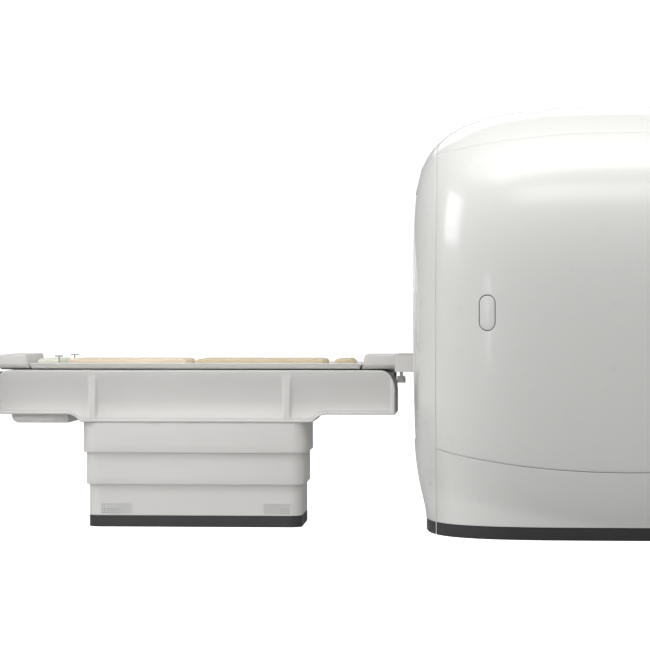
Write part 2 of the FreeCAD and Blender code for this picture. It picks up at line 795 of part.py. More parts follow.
# ------------------------------------------------------------------------ bridge
bed_drop = number(BED_DROP)
deck_local = -bed_drop - number("slide_gap + runner_height")
bore_fit = number("bore_radius - seat_gap")
throat_start = -number("mouth_channel_end")
trough_length = number("bore_half_length") - throat_start
trough = Part.makeCylinder(bore_fit, trough_length, V(throat_start, 0, 0), X_AXIS)
trough = trough.common(Part.makeBox(4000, 2000, 2000, V(-2000, -1000, deck_local - 2000)))
bridge_wall = number("bridge_wall")
duct = Part.makeCylinder(bore_fit - bridge_wall, trough_length + 2,
                         V(throat_start - 1, 0, 0), X_AXIS)
duct = duct.common(
    Part.makeBox(4000, 2000, 2000, V(-2000, -1000, deck_local - bridge_wall - 2000)))
channel_start = -number("bridge_reach")
channel_half = number("channel_half_width")
channel_length = throat_start - channel_start
cheek_rise = number("cheek_top - bore_height")
cheek_inner = channel_half - number("cheek_wall")
channel = Part.makeBox(channel_length, 2 * channel_half,
                       cheek_rise - deck_local + number("channel_floor"),
                       V(channel_start, -channel_half, deck_local - number("channel_floor")))
channel_space = Part.makeBox(channel_length + 2, 2 * cheek_inner, 400,
                             V(channel_start - 1, -cheek_inner, deck_local))
bridge = trough.cut(duct).fuse(channel.cut(channel_space)).removeSplitter()
bridge_body = written_feature("bridge_body", bridge)
runner_pair = [box("bridge_runner",
                   ("%s - bridge_reach" % ISO_X, "%s + bore_half_length" % ISO_X),
                   ("%srunner_spacing - runner_width / 2" % side,
                    "%srunner_spacing + runner_width / 2" % side),
                   (DECK_TOP, "%s + runner_height" % DECK_TOP)) for side in ("-", "")]
node(fuse("bore_bridge", [bridge_body] + runner_pair), "bore_bridge")

# A release knob hangs under the near cheek.
LATCH_X = "(%s - bridge_reach + 30)" % ISO_X
latch_y = "-222"
CHANNEL_UNDER = "(%s - channel_floor)" % DECK_TOP
latch = fuse("latch_whole", [
    cylinder("latch_knob", "21", "22", (LATCH_X, latch_y, "%s - 54" % CHANNEL_UNDER)),
    box("latch_bar", ("%s - 20" % LATCH_X, "%s + 20" % LATCH_X), (latch_y + " - 5", latch_y + " + 5"),
        ("%s - 40" % CHANNEL_UNDER, "%s - 20" % CHANNEL_UNDER)),
    cylinder("latch_stem", "8", "40 - slide_gap", (LATCH_X, latch_y, "%s - 40" % CHANNEL_UNDER))])
node(latch, "bridge_latch")

# ---------------------------------------------------------------------- pedestal
T = TABLE_X


node(tier("table_plinth", "0", "0", "table_plinth_height", "plinth_wall"), "table_plinth")
plate = new_body("table_base_frame", (T, "0", "0"))
plate_sketch = new_sketch(plate, "XY_Plane", "base_plate_plan")
rounded(plate_sketch, "base_half_length - plinth_wall - seat_gap",
        "base_half_width - plinth_wall - seat_gap", "base_corner - plinth_wall")
pad(plate, plate_sketch, "base_plate")
node(plate, "table_base_frame")


VENT_Z = range(int(number("vent_rows")))


def vent_tools(columns, start):
    """One compound of square bars, a bar for each hole."""
    side = number("vent_hole")
    reach = number("base_half_width") + 5
    bars = []
    for column in range(int(number(columns))):
        for row in VENT_Z:
            corner = V(number(start) + column * number("vent_pitch_x"), -reach,
                       number("vent_bottom") + row * number("vent_pitch_z"))
            bars.append(Part.makeBox(side, 2 * reach, side, corner))
    return bars


vent_bars = vent_tools("vent_left_columns", "-vent_left") \
    + vent_tools("vent_right_columns", "vent_right")
vent_feature = doc.addObject("Part::Feature", "vent_bars")
vent_feature.Shape = Part.makeCompound(vent_bars)
vent_feature.Placement = FreeCAD.Placement(V(number(T), 0, 0), FreeCAD.Rotation())
base_sleeve = tier("base_sleeve", "0", "table_plinth_height + seat_gap", "base_cover_top")
node(cut("base_cover", base_sleeve, [vent_feature]), "base_cover")
node(tier("mid_cover", "1", "mid_cover_bottom", "mid_cover_top"), "mid_cover")
node(tier("upper_cover", "2", "upper_cover_bottom", "%s - seat_gap" % SADDLE_BOTTOM),
     "upper_cover")


def columns(label, step, bottom, top):
    """Two upright square tubes; each step fits inside the one before."""
    shrink = "(%s * 2 * (column_wall + column_gap))" % step
    tubes = []
    for side in ("-", ""):
        body = new_body(label + "_tube", ("%s + %scolumn_spacing" % (T, side), "0", bottom))
        sketch = new_sketch(body, "XY_Plane", label + "_plan")
        half_x = "(column_length - %s) / 2" % shrink
        half_y = "(column_width - %s) / 2" % shrink
        rectangle(sketch, "-" + half_x, half_x, "-" + half_y, half_y)
        rectangle(sketch, "-(%s - column_wall)" % half_x, "%s - column_wall" % half_x,
                  "-(%s - column_wall)" % half_y, "%s - column_wall" % half_y)
        pad(body, sketch, "%s - (%s)" % (top, bottom))
        tubes.append(body)
    return group(label, tubes)


node(columns("column_lower", "0", "base_plate", "base_cover_top"), "column_lower")
node(columns("column_mid", "1", "base_cover_top - 40", "mid_cover_top"), "column_mid")
node(columns("column_upper", "2", "mid_cover_top - 40", CHASSIS_Z), "column_upper")

# A plate joins the middle columns to the middle cover.
carrier = new_body("mid_carrier", (T, "0", "mid_cover_top - carrier_plate"))
carrier_sketch = new_sketch(carrier, "XY_Plane", "carrier_plan")
rounded(carrier_sketch, "base_half_length + tier_step_x - shell_wall - seat_gap",
        "base_half_width + tier_step - shell_wall - seat_gap",
        "base_corner + tier_step / 2 - shell_wall")
for side in ("-", ""):
    middle = "%scolumn_spacing" % side
    reach_x = "(column_length / 2 - column_wall - column_gap + seat_gap)"
    reach_y = "(column_width / 2 - column_wall - column_gap + seat_gap)"
    rectangle(carrier_sketch, "%s - %s" % (middle, reach_x), "%s + %s" % (middle, reach_x),
              "-" + reach_y, reach_y)
pad(carrier, carrier_sketch, "carrier_plate")
node(carrier, "mid_carrier")

motors = [cylinder("lift_motor", "42", "110",
                   ("%s + %s(column_spacing - 150)" % (T, side), "0", "base_plate + seat_gap"))
          for side in ("-", "")]
node(group("lift_motors", motors), "lift_motors")

# -------------------------------------------------------------------- table body
# Cross-section of the body cover: upright edge, inward slope, waist and flared foot.
Z_TOP = "(%s)" % DECK_TOP
FLARE_Z = "(%s + lip_height)" % SADDLE_BOTTOM


def body_section(inset):
    half = [("beam_half_width", Z_TOP),
            ("beam_half_width - 3", "%s - 28" % Z_TOP),
            ("beam_waist", "%s - 163" % Z_TOP),
            ("beam_waist + 6", "%s - 193" % Z_TOP),
            ("beam_waist + 22", "%s - 221" % Z_TOP),
            ("saddle_half_width", FLARE_Z),
            ("saddle_half_width", SADDLE_BOTTOM)]
    if inset != "0":
        half[0] = ("beam_half_width", "%s + 20" % Z_TOP)
        half[-1] = ("saddle_half_width", "%s - 20" % SADDLE_BOTTOM)
    right = [("%s - %s" % (y, inset), z) for y, z in half]
    left = [("-(%s - %s)" % (y, inset), z) for y, z in reversed(half)]
    return right + left


def side_profile(lift, inset):
    """The beam seen from the side, with its saddle and two concave corners."""
    end = "(beam_half_length - %s)" % inset
    bottom = "(%s + %s + %s)" % (BEAM_BOTTOM, lift, inset)
    low = "(%s + %s)" % (SADDLE_BOTTOM, lift)
    left = "(saddle_left - %s)" % inset
    right = "(saddle_right - %s)" % inset
    reach = "saddle_fillet"
    corners = [("-" + end, Z_TOP), ("-" + end, bottom),
               ("-(%s + %s)" % (left, reach), bottom),
               ("-" + left, low), (right, low),
               ("%s + %s" % (right, reach), bottom), (end, bottom), (end, Z_TOP)]
    # each concave corner is an arc through the drop, as wide as the fillet
    drop = "(saddle_drop - %s)" % "0"
    radius = "((saddle_fillet)^2 + (%s)^2) / (2 * %s)" % (drop, drop)
    return corners, {2: (radius, -1), 4: (radius, -1)}


body_long = prism("body_long", "YZ_Plane", body_section("0"), "2 * beam_half_length", (T, "0", "0"))
side_corners, side_arcs = side_profile("0", "0")
body_side = prism("body_side", "XZ_Plane", side_corners, "3 * beam_half_width", (T, "0", "0"),
                  side_arcs)
lip_corners, lip_arcs = side_profile("lip_height", "0")
lip_upper = prism("lip_upper", "XZ_Plane", lip_corners, "3 * beam_half_width", (T, "0", "0"),
                  lip_arcs)
lip_plain = box("lip_plain", ("%s - beam_half_length" % T, "%s + beam_half_length" % T),
                ("-beam_half_width", "beam_half_width"), (SADDLE_BOTTOM, Z_TOP))
lip = cut("lip", common("lip_block", [lip_plain, body_side]), [lip_upper])
fins = []
for x_mid in ("-fin_left", "fin_right"):
    fins.append(box("fin", ("%s + %s - fin_width / 2" % (T, x_mid),
                            "%s + %s + fin_width / 2" % (T, x_mid)),
                    ("-(beam_half_width - 1)", "beam_half_width - 1"),
                    ("%s + 15" % SADDLE_BOTTOM, "%s - 23" % Z_TOP)))
cavity_long = prism("cavity_long", "YZ_Plane", body_section("shell_wall"),
                    "2 * (beam_half_length - shell_wall)", (T, "0", "0"))
cavity_beam = box("cavity_beam",
                  ("%s - beam_half_length" % T, "%s + beam_half_length" % T),
                  ("-beam_half_width", "beam_half_width"),
                  ("%s + shell_wall" % BEAM_BOTTOM, "%s + 50" % Z_TOP))
cavity_saddle = box("cavity_saddle",
                    ("%s - saddle_left + shell_wall" % T, "%s + saddle_right - shell_wall" % T),
                    ("-saddle_half_width", "saddle_half_width"),
                    ("%s - 50" % SADDLE_BOTTOM, "%s + 50" % BEAM_BOTTOM))
cavity = common("cavity", [cavity_long, fuse("cavity_side", [cavity_beam, cavity_saddle])])
cover_solid = fuse("body_cover_solid", [common("body_form", [body_long, body_side]), lip] + fins)
node(cut("table_body_cover", cover_solid, [cavity]), "table_body_cover")

INNER_TOP = "(beam_half_width - shell_wall)"
deck_plate = box("deck_plate",
                 ("%s - beam_half_length + shell_wall + slide_gap" % T,
                  "%s + beam_half_length - shell_wall - slide_gap" % T),
                 ("-(%s - 3)" % INNER_TOP, "%s - 3" % INNER_TOP),
                 ("%s - deck_thickness" % DECK_TOP, DECK_TOP))
deck_slot = box("deck_opening",
                ("%s - pulley_offset - pulley_radius" % T, "%s + pulley_offset + pulley_radius" % T),
                ("-deck_slot / 2", "deck_slot / 2"),
                ("%s - 2 * deck_thickness" % DECK_TOP, "%s + 10" % DECK_TOP))
node(cut("table_deck", deck_plate, [deck_slot]), "table_deck")
rail_pair = [box("guide_rail",
                 ("%s - beam_half_length + shell_wall" % T,
                  "%s + beam_half_length - shell_wall" % T),
                 ("%srunner_spacing - runner_width / 2" % side,
                  "%srunner_spacing + runner_width / 2" % side),
                 (DECK_TOP, "%s + runner_height" % DECK_TOP)) for side in ("-", "")]
node(group("guide_rails", rail_pair), "guide_rails")

# The chassis is a plate over the columns with two long rails under the deck.
chassis_plate = box("chassis_plate", ("%s - 450" % T, "%s + 450" % T),
                    ("-(rail_spacing + rail_width)", "rail_spacing + rail_width"),
                    (CHASSIS_Z + " + seat_gap", CHASSIS_Z + " + chassis_plate"))
long_rails = []
for side in ("-", ""):
    inner = "rail_spacing" if side == "" else "-(rail_spacing + rail_width)"
    outer = "rail_spacing + rail_width" if side == "" else "-rail_spacing"
    long_rails.append(box("long_rail",
                          ("%s - beam_half_length + shell_wall + 2" % T,
                           "%s + beam_half_length - shell_wall - 2" % T), (inner, outer),
                          (CHASSIS_Z + " + chassis_plate",
                           "%s - deck_thickness - seat_gap" % DECK_TOP)))
node(fuse("table_chassis", [chassis_plate] + long_rails), "table_chassis")

under_box = prism("under_beam_box", "XZ_Plane", [
    ("-906", "%s - seat_gap" % BEAM_BOTTOM), ("-906", "%s - 20" % BEAM_BOTTOM),
    ("-881", "%s - 46" % BEAM_BOTTOM), ("-(saddle_left + saddle_fillet + 3)", "%s - 46" % BEAM_BOTTOM),
    ("-(saddle_left + saddle_fillet + 3)", "%s - seat_gap" % BEAM_BOTTOM)], "400", (T, "0", "0"))
node(under_box, "under_beam_box")

# ------------------------------------------------------------------ tabletop drive
BELT_TOP = "(pulley_height + pulley_radius + seat_gap + belt_thickness)"
for name, side in (("drive_pulley", "-"), ("idler_pulley", "")):
    middle = "%s + %spulley_offset" % (T, side)
    wheel = cylinder(name + "_wheel", "pulley_radius", "pulley_width",
                     (middle, "-pulley_width / 2", "pulley_height"), "Y")
    hole = cylinder(name + "_hole", "shaft_radius + seat_gap", "pulley_width + 2",
                    (middle, "-pulley_width / 2 - 1", "pulley_height"), "Y")
    node(cut(name, wheel, [hole]), name)
shafts = [cylinder("pulley_shaft", "shaft_radius", "2 * (rail_spacing - seat_gap)",
                   ("%s + %spulley_offset" % (T, side), "-(rail_spacing - seat_gap)",
                    "pulley_height"), "Y") for side in ("-", "")]
node(group("pulley_shafts", shafts), "pulley_shafts")


def belt_loop(label, radius):
    """The round-ended plate whose edge is one face of the belt."""
    end = "pulley_offset"
    body = new_body(label, (T, "0", "pulley_height"))
    sketch = new_sketch(body, "XZ_Plane", label + "_loop")
    outline(sketch, [("-" + end, "-(%s)" % radius), (end, "-(%s)" % radius),
                     (end, radius), ("-" + end, radius)],
            {1: (radius, 1), 3: (radius, 1)})
    pad(body, sketch, "belt_width", True)
    return body


belt = cut("drive_belt", belt_loop("belt_outside", "pulley_radius + seat_gap + belt_thickness"),
           [belt_loop("belt_inside", "pulley_radius + seat_gap")])
node(belt, "drive_belt")
motor_solid = cylinder("motor_solid", "motor_radius",
                       "rail_spacing - pulley_width / 2 - slide_gap - seat_gap",
                       ("%s - pulley_offset + 5" % T, "pulley_width / 2 + slide_gap",
                        "pulley_height - 10"), "Y")
motor_hole = cylinder("motor_hole", "shaft_radius + 6", "rail_spacing",
                      ("%s - pulley_offset" % T, "0", "pulley_height"), "Y")
node(cut("drive_motor", motor_solid, [motor_hole]), "drive_motor")
CARRIAGE_X = "(%s - beam_half_length + 110)" % T
node(box("drive_carriage", ("%s - 30" % CARRIAGE_X, "%s + 30" % CARRIAGE_X),
         ("-(deck_slot / 2 - 2)", "deck_slot / 2 - 2"),
         ("%s + slide_gap" % BELT_TOP, "bed_height - seat_gap")), "drive_carriage")

# ----------------------------------------------------------------------- tabletop
BED_TOP = "(bed_height + bed_thickness)"
DISH = "(%s - dish_depth)" % BED_TOP
bed_half = [("bed_keel_half_width", "bed_height"), ("bed_half_width", BED_TOP),
            ("bed_half_width - 14", BED_TOP), ("bed_half_width - 26", DISH)]
bed_section = bed_half + [("-(%s)" % y, z) for y, z in reversed(bed_half)]
node(prism("tabletop", "YZ_Plane", bed_section, "2 * bed_half_length", (T, "0", "0")), "tabletop")

PAD_LOW = "(%s + seat_gap)" % DISH
PAD_HIGH = "(%s + pad_thickness)" % DISH
PADS = (("pad_foot", "-798", "-666"), ("pad_leg", "-666 + pad_gap", "-31"),
        ("pad_torso", "-31 + pad_gap", "653"), ("pad_head", "653 + pad_gap + 5", "793"))
for name, start, end in PADS:
    slant = " - 14" if name == "pad_head" else ""
    outline_points = [(start, PAD_LOW), (end, PAD_LOW), (end + slant, PAD_HIGH),
                      (start, PAD_HIGH)]
    node(prism(name, "XZ_Plane", outline_points, "2 * pad_half_width", (T, "0", "0")), name)

BLOCK_LOW = "(bed_height + seat_gap)"
BLOCK_TOP = "(bed_height + block_height)"
head_start = "(bed_half_length + seat_gap)"
head_end = "beam_half_length"
head = prism("head_block_form", "XZ_Plane", [
    (head_start, BLOCK_LOW), (head_end, BLOCK_LOW), (head_end, BLOCK_TOP),
    (head_start + " + 14", BLOCK_TOP)], "2 * block_half_width", (T, "0", "0"))
keel = prism("head_block_keel", "YZ_Plane", [
    ("-bed_keel_half_width", BLOCK_LOW), ("bed_keel_half_width", BLOCK_LOW),
    ("block_half_width + 1", BLOCK_LOW + " + 18"), ("block_half_width + 1", BLOCK_TOP + " + 5"),
    ("-(block_half_width + 1)", BLOCK_TOP + " + 5"),
    ("-(block_half_width + 1)", BLOCK_LOW + " + 18")], "2 * beam_half_length + 10", (T, "0", "0"))
node(common("head_block", [head, keel]), "head_block")
node(prism("foot_block", "XZ_Plane", [
    ("-(%s)" % head_start, BLOCK_LOW), ("-(%s + 14)" % head_start, BLOCK_TOP),
    ("-(beam_half_length - 18)", BLOCK_TOP), ("-beam_half_length", BLOCK_TOP + " - 18"),
    ("-beam_half_length", BLOCK_LOW)], "2 * bed_half_width", (T, "0", "0"),
    {2: ("18", -1)}), "foot_block")

pegs = []
for side in ("-", ""):
    y_mid = "%s(bed_half_width - 7)" % side
    peg_x = "(%s - 673)" % T
    pegs.append(fuse("peg", [
        cylinder("peg_stem", "4", "36", (peg_x, y_mid, BED_TOP + " + seat_gap")),
        box("peg_bar", (peg_x + " - 20", peg_x + " + 20"), (y_mid + " - 6", y_mid + " + 6"),
            (BED_TOP + " + 30", BED_TOP + " + 38"))]))
node(group("strap_pegs", pegs), "strap_pegs")

# -------------------------------------------------------------- checks and files
doc.recompute()
failed = [thing.Name for thing in doc.Objects
          if any(word in thing.State for word in ("Invalid", "Error"))]
if failed:
    raise RuntimeError("failed objects: %s" % ", ".join(failed))
for part in nodes:
    if part.Shape.isNull() or not part.Shape.isValid() or not part.Shape.Solids:
        raise RuntimeError("bad shape: " + part.Label)

os.makedirs("parts", exist_ok=True)
for part in nodes:
    part.Shape.exportStep("parts/%s.step" % part.Label)
print("%d sub-parts written" % len(nodes))
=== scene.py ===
import json
import math

import bmesh
import bpy
import numpy as np
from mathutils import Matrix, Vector


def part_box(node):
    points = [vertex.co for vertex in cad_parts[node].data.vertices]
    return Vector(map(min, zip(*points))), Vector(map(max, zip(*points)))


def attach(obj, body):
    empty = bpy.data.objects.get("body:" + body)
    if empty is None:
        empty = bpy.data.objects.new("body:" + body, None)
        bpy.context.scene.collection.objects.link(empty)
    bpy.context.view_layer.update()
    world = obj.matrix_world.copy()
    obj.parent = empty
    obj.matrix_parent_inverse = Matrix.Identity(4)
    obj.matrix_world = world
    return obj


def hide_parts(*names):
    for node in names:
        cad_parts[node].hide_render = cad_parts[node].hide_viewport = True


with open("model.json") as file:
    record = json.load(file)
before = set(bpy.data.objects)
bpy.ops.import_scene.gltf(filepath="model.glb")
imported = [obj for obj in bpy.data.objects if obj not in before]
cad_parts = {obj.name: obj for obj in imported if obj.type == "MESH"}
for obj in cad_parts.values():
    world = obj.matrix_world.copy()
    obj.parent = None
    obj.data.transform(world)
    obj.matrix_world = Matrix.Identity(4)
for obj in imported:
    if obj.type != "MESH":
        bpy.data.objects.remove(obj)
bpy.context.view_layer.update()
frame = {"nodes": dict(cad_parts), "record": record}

nodes = frame["nodes"]

# ---------------------------------------------------------------- key places, in metres
# The gantry's form is written about the isocentre, and the table's about the middle of its beam.
ISO_X = (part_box("patient_bore_tube")[0].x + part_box("patient_bore_tube")[1].x) / 2
TABLE_X = (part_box("table_body_cover")[0].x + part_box("table_body_cover")[1].x) / 2
BORE_Z = 1.045
HALF_LENGTH, HALF_WIDTH = 1.005, 0.990
NOSE_SEAM, SEAM_GAP = 0.890, 0.003
PLINTH_TOP = 0.060
EDGE = 0.0011           # rounding along each cover's edges
WALL = 0.010            # how deep the edges turn in
SLOT_NAME = len("look_")


# ---------------------------------------------------------------- camera, floor and light
scene = bpy.context.scene
scene.view_settings.view_transform = "Standard"
scene.view_settings.look = "None"

camera = bpy.data.objects.new("camera", bpy.data.cameras.new("camera"))
scene.collection.objects.link(camera)
camera.data.lens = 139.6
camera.data.sensor_width = 36
camera.data.clip_end = 200
camera.location = (ISO_X - 0.715, -12.6, BORE_Z)
camera.rotation_euler = (math.radians(90 - 0.23), 0, math.radians(3.36))
scene.camera = camera


def new_material(name):
    """An empty node material whose principled shader is linked to its output."""
    material = bpy.data.materials.new("look_" + name)
    material.use_nodes = True
    tree = material.node_tree
    tree.nodes.clear()
    out = tree.nodes.new("ShaderNodeOutputMaterial")
    shader = tree.nodes.new("ShaderNodeBsdfPrincipled")
    tree.links.new(shader.outputs[0], out.inputs["Surface"])
    return material, tree, shader


def slot_of(material):
    return material.name[SLOT_NAME:]


def noise(tree, coords, scale, detail=3.0, rough=0.55, stretch=None):
    source = coords
    if stretch:
        mapping = tree.nodes.new("ShaderNodeMapping")
        mapping.inputs["Scale"].default_value = stretch
        tree.links.new(coords, mapping.inputs["Vector"])
        source = mapping.outputs[0]
    texture = tree.nodes.new("ShaderNodeTexNoise")
    texture.inputs["Scale"].default_value = scale
    texture.inputs["Detail"].default_value = detail
    texture.inputs["Roughness"].default_value = rough
    tree.links.new(source, texture.inputs["Vector"])
    return texture.outputs["Fac"]


def ranged(tree, value, low, high, from_low=0.3, from_high=0.7):
    """Maps a value, by default the middle of a noise, onto low to high."""
    mapped = tree.nodes.new("ShaderNodeMapRange")
    mapped.inputs["From Min"].default_value = from_low
    mapped.inputs["From Max"].default_value = from_high
    mapped.inputs["To Min"].default_value = low
    mapped.inputs["To Max"].default_value = high
    tree.links.new(value, mapped.inputs["Value"])
    return mapped.outputs[0]


def linear(colour):
    """From display values to linear light."""
    return tuple((c / 12.92 if c <= 0.04045 else ((c + 0.055) / 1.055) ** 2.4) for c in colour)


def blended(tree, factor, first, second):
    mix = tree.nodes.new("ShaderNodeMix")
    mix.data_type = "RGBA"
    mix.inputs["A"].default_value = (*linear(first), 1)
    mix.inputs["B"].default_value = (*linear(second), 1)
    tree.links.new(factor, mix.inputs["Factor"])
    return mix.outputs["Result"]


def bump(tree, shader, height, strength, distance, previous=None):
    node = tree.nodes.new("ShaderNodeBump")
    node.inputs["Strength"].default_value = strength
    node.inputs["Distance"].default_value = distance
    tree.links.new(height, node.inputs["Height"])
    if previous:
        tree.links.new(previous, node.inputs["Normal"])
    tree.links.new(node.outputs[0], shader.inputs["Normal"])
    return node.outputs[0]


def finish(name, colour, rough=0.45, spread=0.05, tint=0.02, grain=900, depth=0.00004,
           strength=0.35, coat=0.0, coat_rough=0.06, metal=0.0, broad=2.2, stretch=None):
    """A moulded, painted or metal surface: broad tone drift, fine grain and uneven gloss."""
    material, tree, shader = new_material(name)
    coords = tree.nodes.new("ShaderNodeTexCoord").outputs["Object"]
    drift = noise(tree, coords, broad, 4, 0.6)
    darker = tuple(max(c - tint, 0) for c in colour)
    base = blended(tree, ranged(tree, drift, 0, 1), colour, darker)
    tree.links.new(base, shader.inputs["Base Color"])
    fine = noise(tree, coords, grain, 2, 0.5, stretch)
    smear = noise(tree, coords, 14, 5, 0.6)
    mixed = tree.nodes.new("ShaderNodeMath")
    mixed.operation = "ADD"
    tree.links.new(ranged(tree, smear, rough - spread, rough + spread), mixed.inputs[0])
    tree.links.new(ranged(tree, fine, -spread / 2, spread / 2), mixed.inputs[1])
    tree.links.new(mixed.outputs[0], shader.inputs["Roughness"])
    bump(tree, shader, fine, strength, depth)
    shader.inputs["Metallic"].default_value = metal
    shader.inputs["IOR"].default_value = 1.47
    shader.inputs["Coat Weight"].default_value = coat
    shader.inputs["Coat Roughness"].default_value = coat_rough
    return material


def vinyl(name, colour, seam):
    """Wipe-clean pad cover: pebbled grain, faint creases and a softer sheen."""
    material, tree, shader = new_material(name)
    coords = tree.nodes.new("ShaderNodeTexCoord").outputs["Object"]
    drift = noise(tree, coords, 9, 5, 0.6)
    base = blended(tree, ranged(tree, drift, 0, 1), colour, seam)
    tree.links.new(base, shader.inputs["Base Color"])
    pebble = tree.nodes.new("ShaderNodeTexVoronoi")
    pebble.inputs["Scale"].default_value = 620
    tree.links.new(coords, pebble.inputs["Vector"])
    grain = pebble.outputs["Distance"]
    tree.links.new(ranged(tree, grain, 0.46, 0.66, 0.1, 0.8), shader.inputs["Roughness"])
    first = bump(tree, shader, grain, 0.35, 0.00025)
    bump(tree, shader, noise(tree, coords, 38, 4, 0.6), 0.3, 0.0012, first)
    shader.inputs["Sheen Weight"].default_value = 0.15
    shader.inputs["Sheen Roughness"].default_value = 0.5
    return material


WAVE_SCALE = 0.314      # a wave texture of this scale repeats once a metre


def banded(name, colour, groove, pitch, metal=0.0, rough=0.4):
    """Wound or ribbed surface: fine turns along X over a noisy base."""
    material, tree, shader = new_material(name)
    coords = tree.nodes.new("ShaderNodeTexCoord").outputs["Object"]
    wave = tree.nodes.new("ShaderNodeTexWave")
    wave.bands_direction = "X"
    wave.inputs["Scale"].default_value = WAVE_SCALE / pitch
    wave.inputs["Distortion"].default_value = 0.15
    wave.inputs["Detail"].default_value = 1
    tree.links.new(coords, wave.inputs["Vector"])
    tree.links.new(blended(tree, wave.outputs["Fac"], groove, colour), shader.inputs["Base Color"])
    uneven = ranged(tree, noise(tree, coords, 160), rough - 0.08, rough + 0.1)
    tree.links.new(uneven, shader.inputs["Roughness"])
    bump(tree, shader, wave.outputs["Fac"], 0.5, pitch * 0.2)
    shader.inputs["Metallic"].default_value = metal
    return material


WHITE = finish("white_cover", (0.925, 0.925, 0.912), rough=0.30, spread=0.03, tint=0.006, grain=1400,
               depth=0.00002, strength=0.25, coat=0.55, coat_rough=0.10, broad=1.3)
COVER = finish("table_cover", (0.865, 0.860, 0.850), rough=0.50, tint=0.012, grain=1100)
SHELL = finish("tabletop_shell", (0.900, 0.893, 0.880), rough=0.42, tint=0.012, grain=1300)
DARK = finish("dark_plinth", (0.235, 0.235, 0.235), rough=0.55, spread=0.08, tint=0.03, grain=800,
              depth=0.0001)
LINER = finish("bore_liner", (0.915, 0.925, 0.925), rough=0.34, tint=0.01, coat=0.3)
IVORY = vinyl("ivory_pad", (0.930, 0.930, 0.880), (0.900, 0.895, 0.840))
PEACH = vinyl("peach_pad", (0.930, 0.870, 0.780), (0.905, 0.835, 0.735))
TAN = vinyl("tan_pad", (0.860, 0.800, 0.680), (0.825, 0.760, 0.635))
STEEL = finish("steel_vessel", (0.64, 0.65, 0.66), rough=0.36, spread=0.08, metal=1.0, grain=260,
               stretch=(1, 12, 12), depth=0.0001)
SHIELD = finish("shield_metal", (0.80, 0.80, 0.81), rough=0.28, spread=0.08, metal=1.0, grain=240,
                stretch=(12, 1, 12))
WINDING = banded("coil_winding", (0.72, 0.46, 0.24), (0.38, 0.22, 0.12), 0.004, metal=0.85)
RESIN = banded("coil_resin", (0.60, 0.56, 0.38), (0.48, 0.44, 0.28), 0.018, rough=0.45)
FRAME = finish("frame_paint", (0.47, 0.48, 0.50), rough=0.5, tint=0.05, grain=420, depth=0.0001)
ANODISED = finish("column_metal", (0.74, 0.74, 0.75), rough=0.32, metal=1.0, grain=300,
                  stretch=(10, 10, 1))
RAIL = finish("rail_plastic", (0.34, 0.34, 0.35), rough=0.5, tint=0.04)
GROUND = finish("shaft_steel", (0.72, 0.72, 0.73), rough=0.22, metal=1.0, grain=500, stretch=(8, 1, 8))
BELT = banded("belt_rubber", (0.11, 0.11, 0.11), (0.05, 0.05, 0.05), 0.005, rough=0.7)
TRIM = finish("grey_trim", (0.74, 0.735, 0.72), rough=0.46, tint=0.02)
RED = finish("stop_red", (0.78, 0.10, 0.08), rough=0.28, tint=0.04, coat=0.5)
BUTTON = finish("button_grey", (0.36, 0.40, 0.45), rough=0.42, tint=0.03)
GLASS = finish("display_glass", (0.035, 0.045, 0.055), rough=0.16, spread=0.03, tint=0.01, coat=1.0,
               coat_rough=0.03)
LENS = finish("light_lens", (0.96, 0.97, 1.0), rough=0.5, tint=0.01)

MATERIALS = {slot_of(m): m for m in (
    WHITE, COVER, SHELL, DARK, LINER, IVORY, PEACH, TAN, STEEL, SHIELD, WINDING, RESIN, FRAME, ANODISED,
    RAIL, GROUND, BELT, TRIM, RED, BUTTON, GLASS, LENS)}
for part in frame["record"]["subparts"]:
    obj = nodes[part["node"]]
    obj.data.materials.clear()
    obj.data.materials.append(MATERIALS[part["material_slot"]])


# ---------------------------------------------------------------- mesh helpers
def make(name, points, faces, body, material):
    """A smooth-shaded piece on a body, from points and faces, with its doubles merged."""
    mesh = bpy.data.meshes.new(name)
    mesh.from_pydata([tuple(map(float, p)) for p in points], [],
                     [tuple(map(int, f)) for f in faces])
    mesh.validate()
    work = bmesh.new()
    work.from_mesh(mesh)
    bmesh.ops.remove_doubles(work, verts=work.verts, dist=1e-6)
    bmesh.ops.recalc_face_normals(work, faces=work.faces)
    work.to_mesh(mesh)
    work.free()
    mesh.shade_smooth()
    obj = bpy.data.objects.new(name, mesh)
    scene.collection.objects.link(obj)
    mesh.materials.append(material)
    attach(obj, body)
    return obj


def facing(obj, outward):
    """Turns the faces so that outward(centre) agrees with their normals on the whole."""
    total = sum(p.area * p.normal.dot(outward(p.center)) for p in obj.data.polygons)
    if total < 0:
        obj.data.flip_normals()


def grid_faces(rows, columns, wrap=False, skip=None):
    """Quads of a grid of points; wrap joins its last row to its first."""
    faces = []
    for i in range(rows if wrap else rows - 1):
        k = (i + 1) % rows
        for j in range(columns - 1):
            if skip and skip(i, j):
                continue
            faces.append((i * columns + j, k * columns + j, k * columns + j + 1, i * columns + j + 1))
    return faces


def ring_faces(rows, count):
    """Faces of closed rings joined in order, with a cap on each end."""
    faces = []
    for i in range(rows - 1):
        for j in range(count):
            k = (j + 1) % count
            faces.append((i * count + j, (i + 1) * count + j, (i + 1) * count + k, i * count + k))
    faces.append(tuple(range(count)))
    faces.append(tuple((rows - 1) * count + j for j in reversed(range(count))))
    return faces


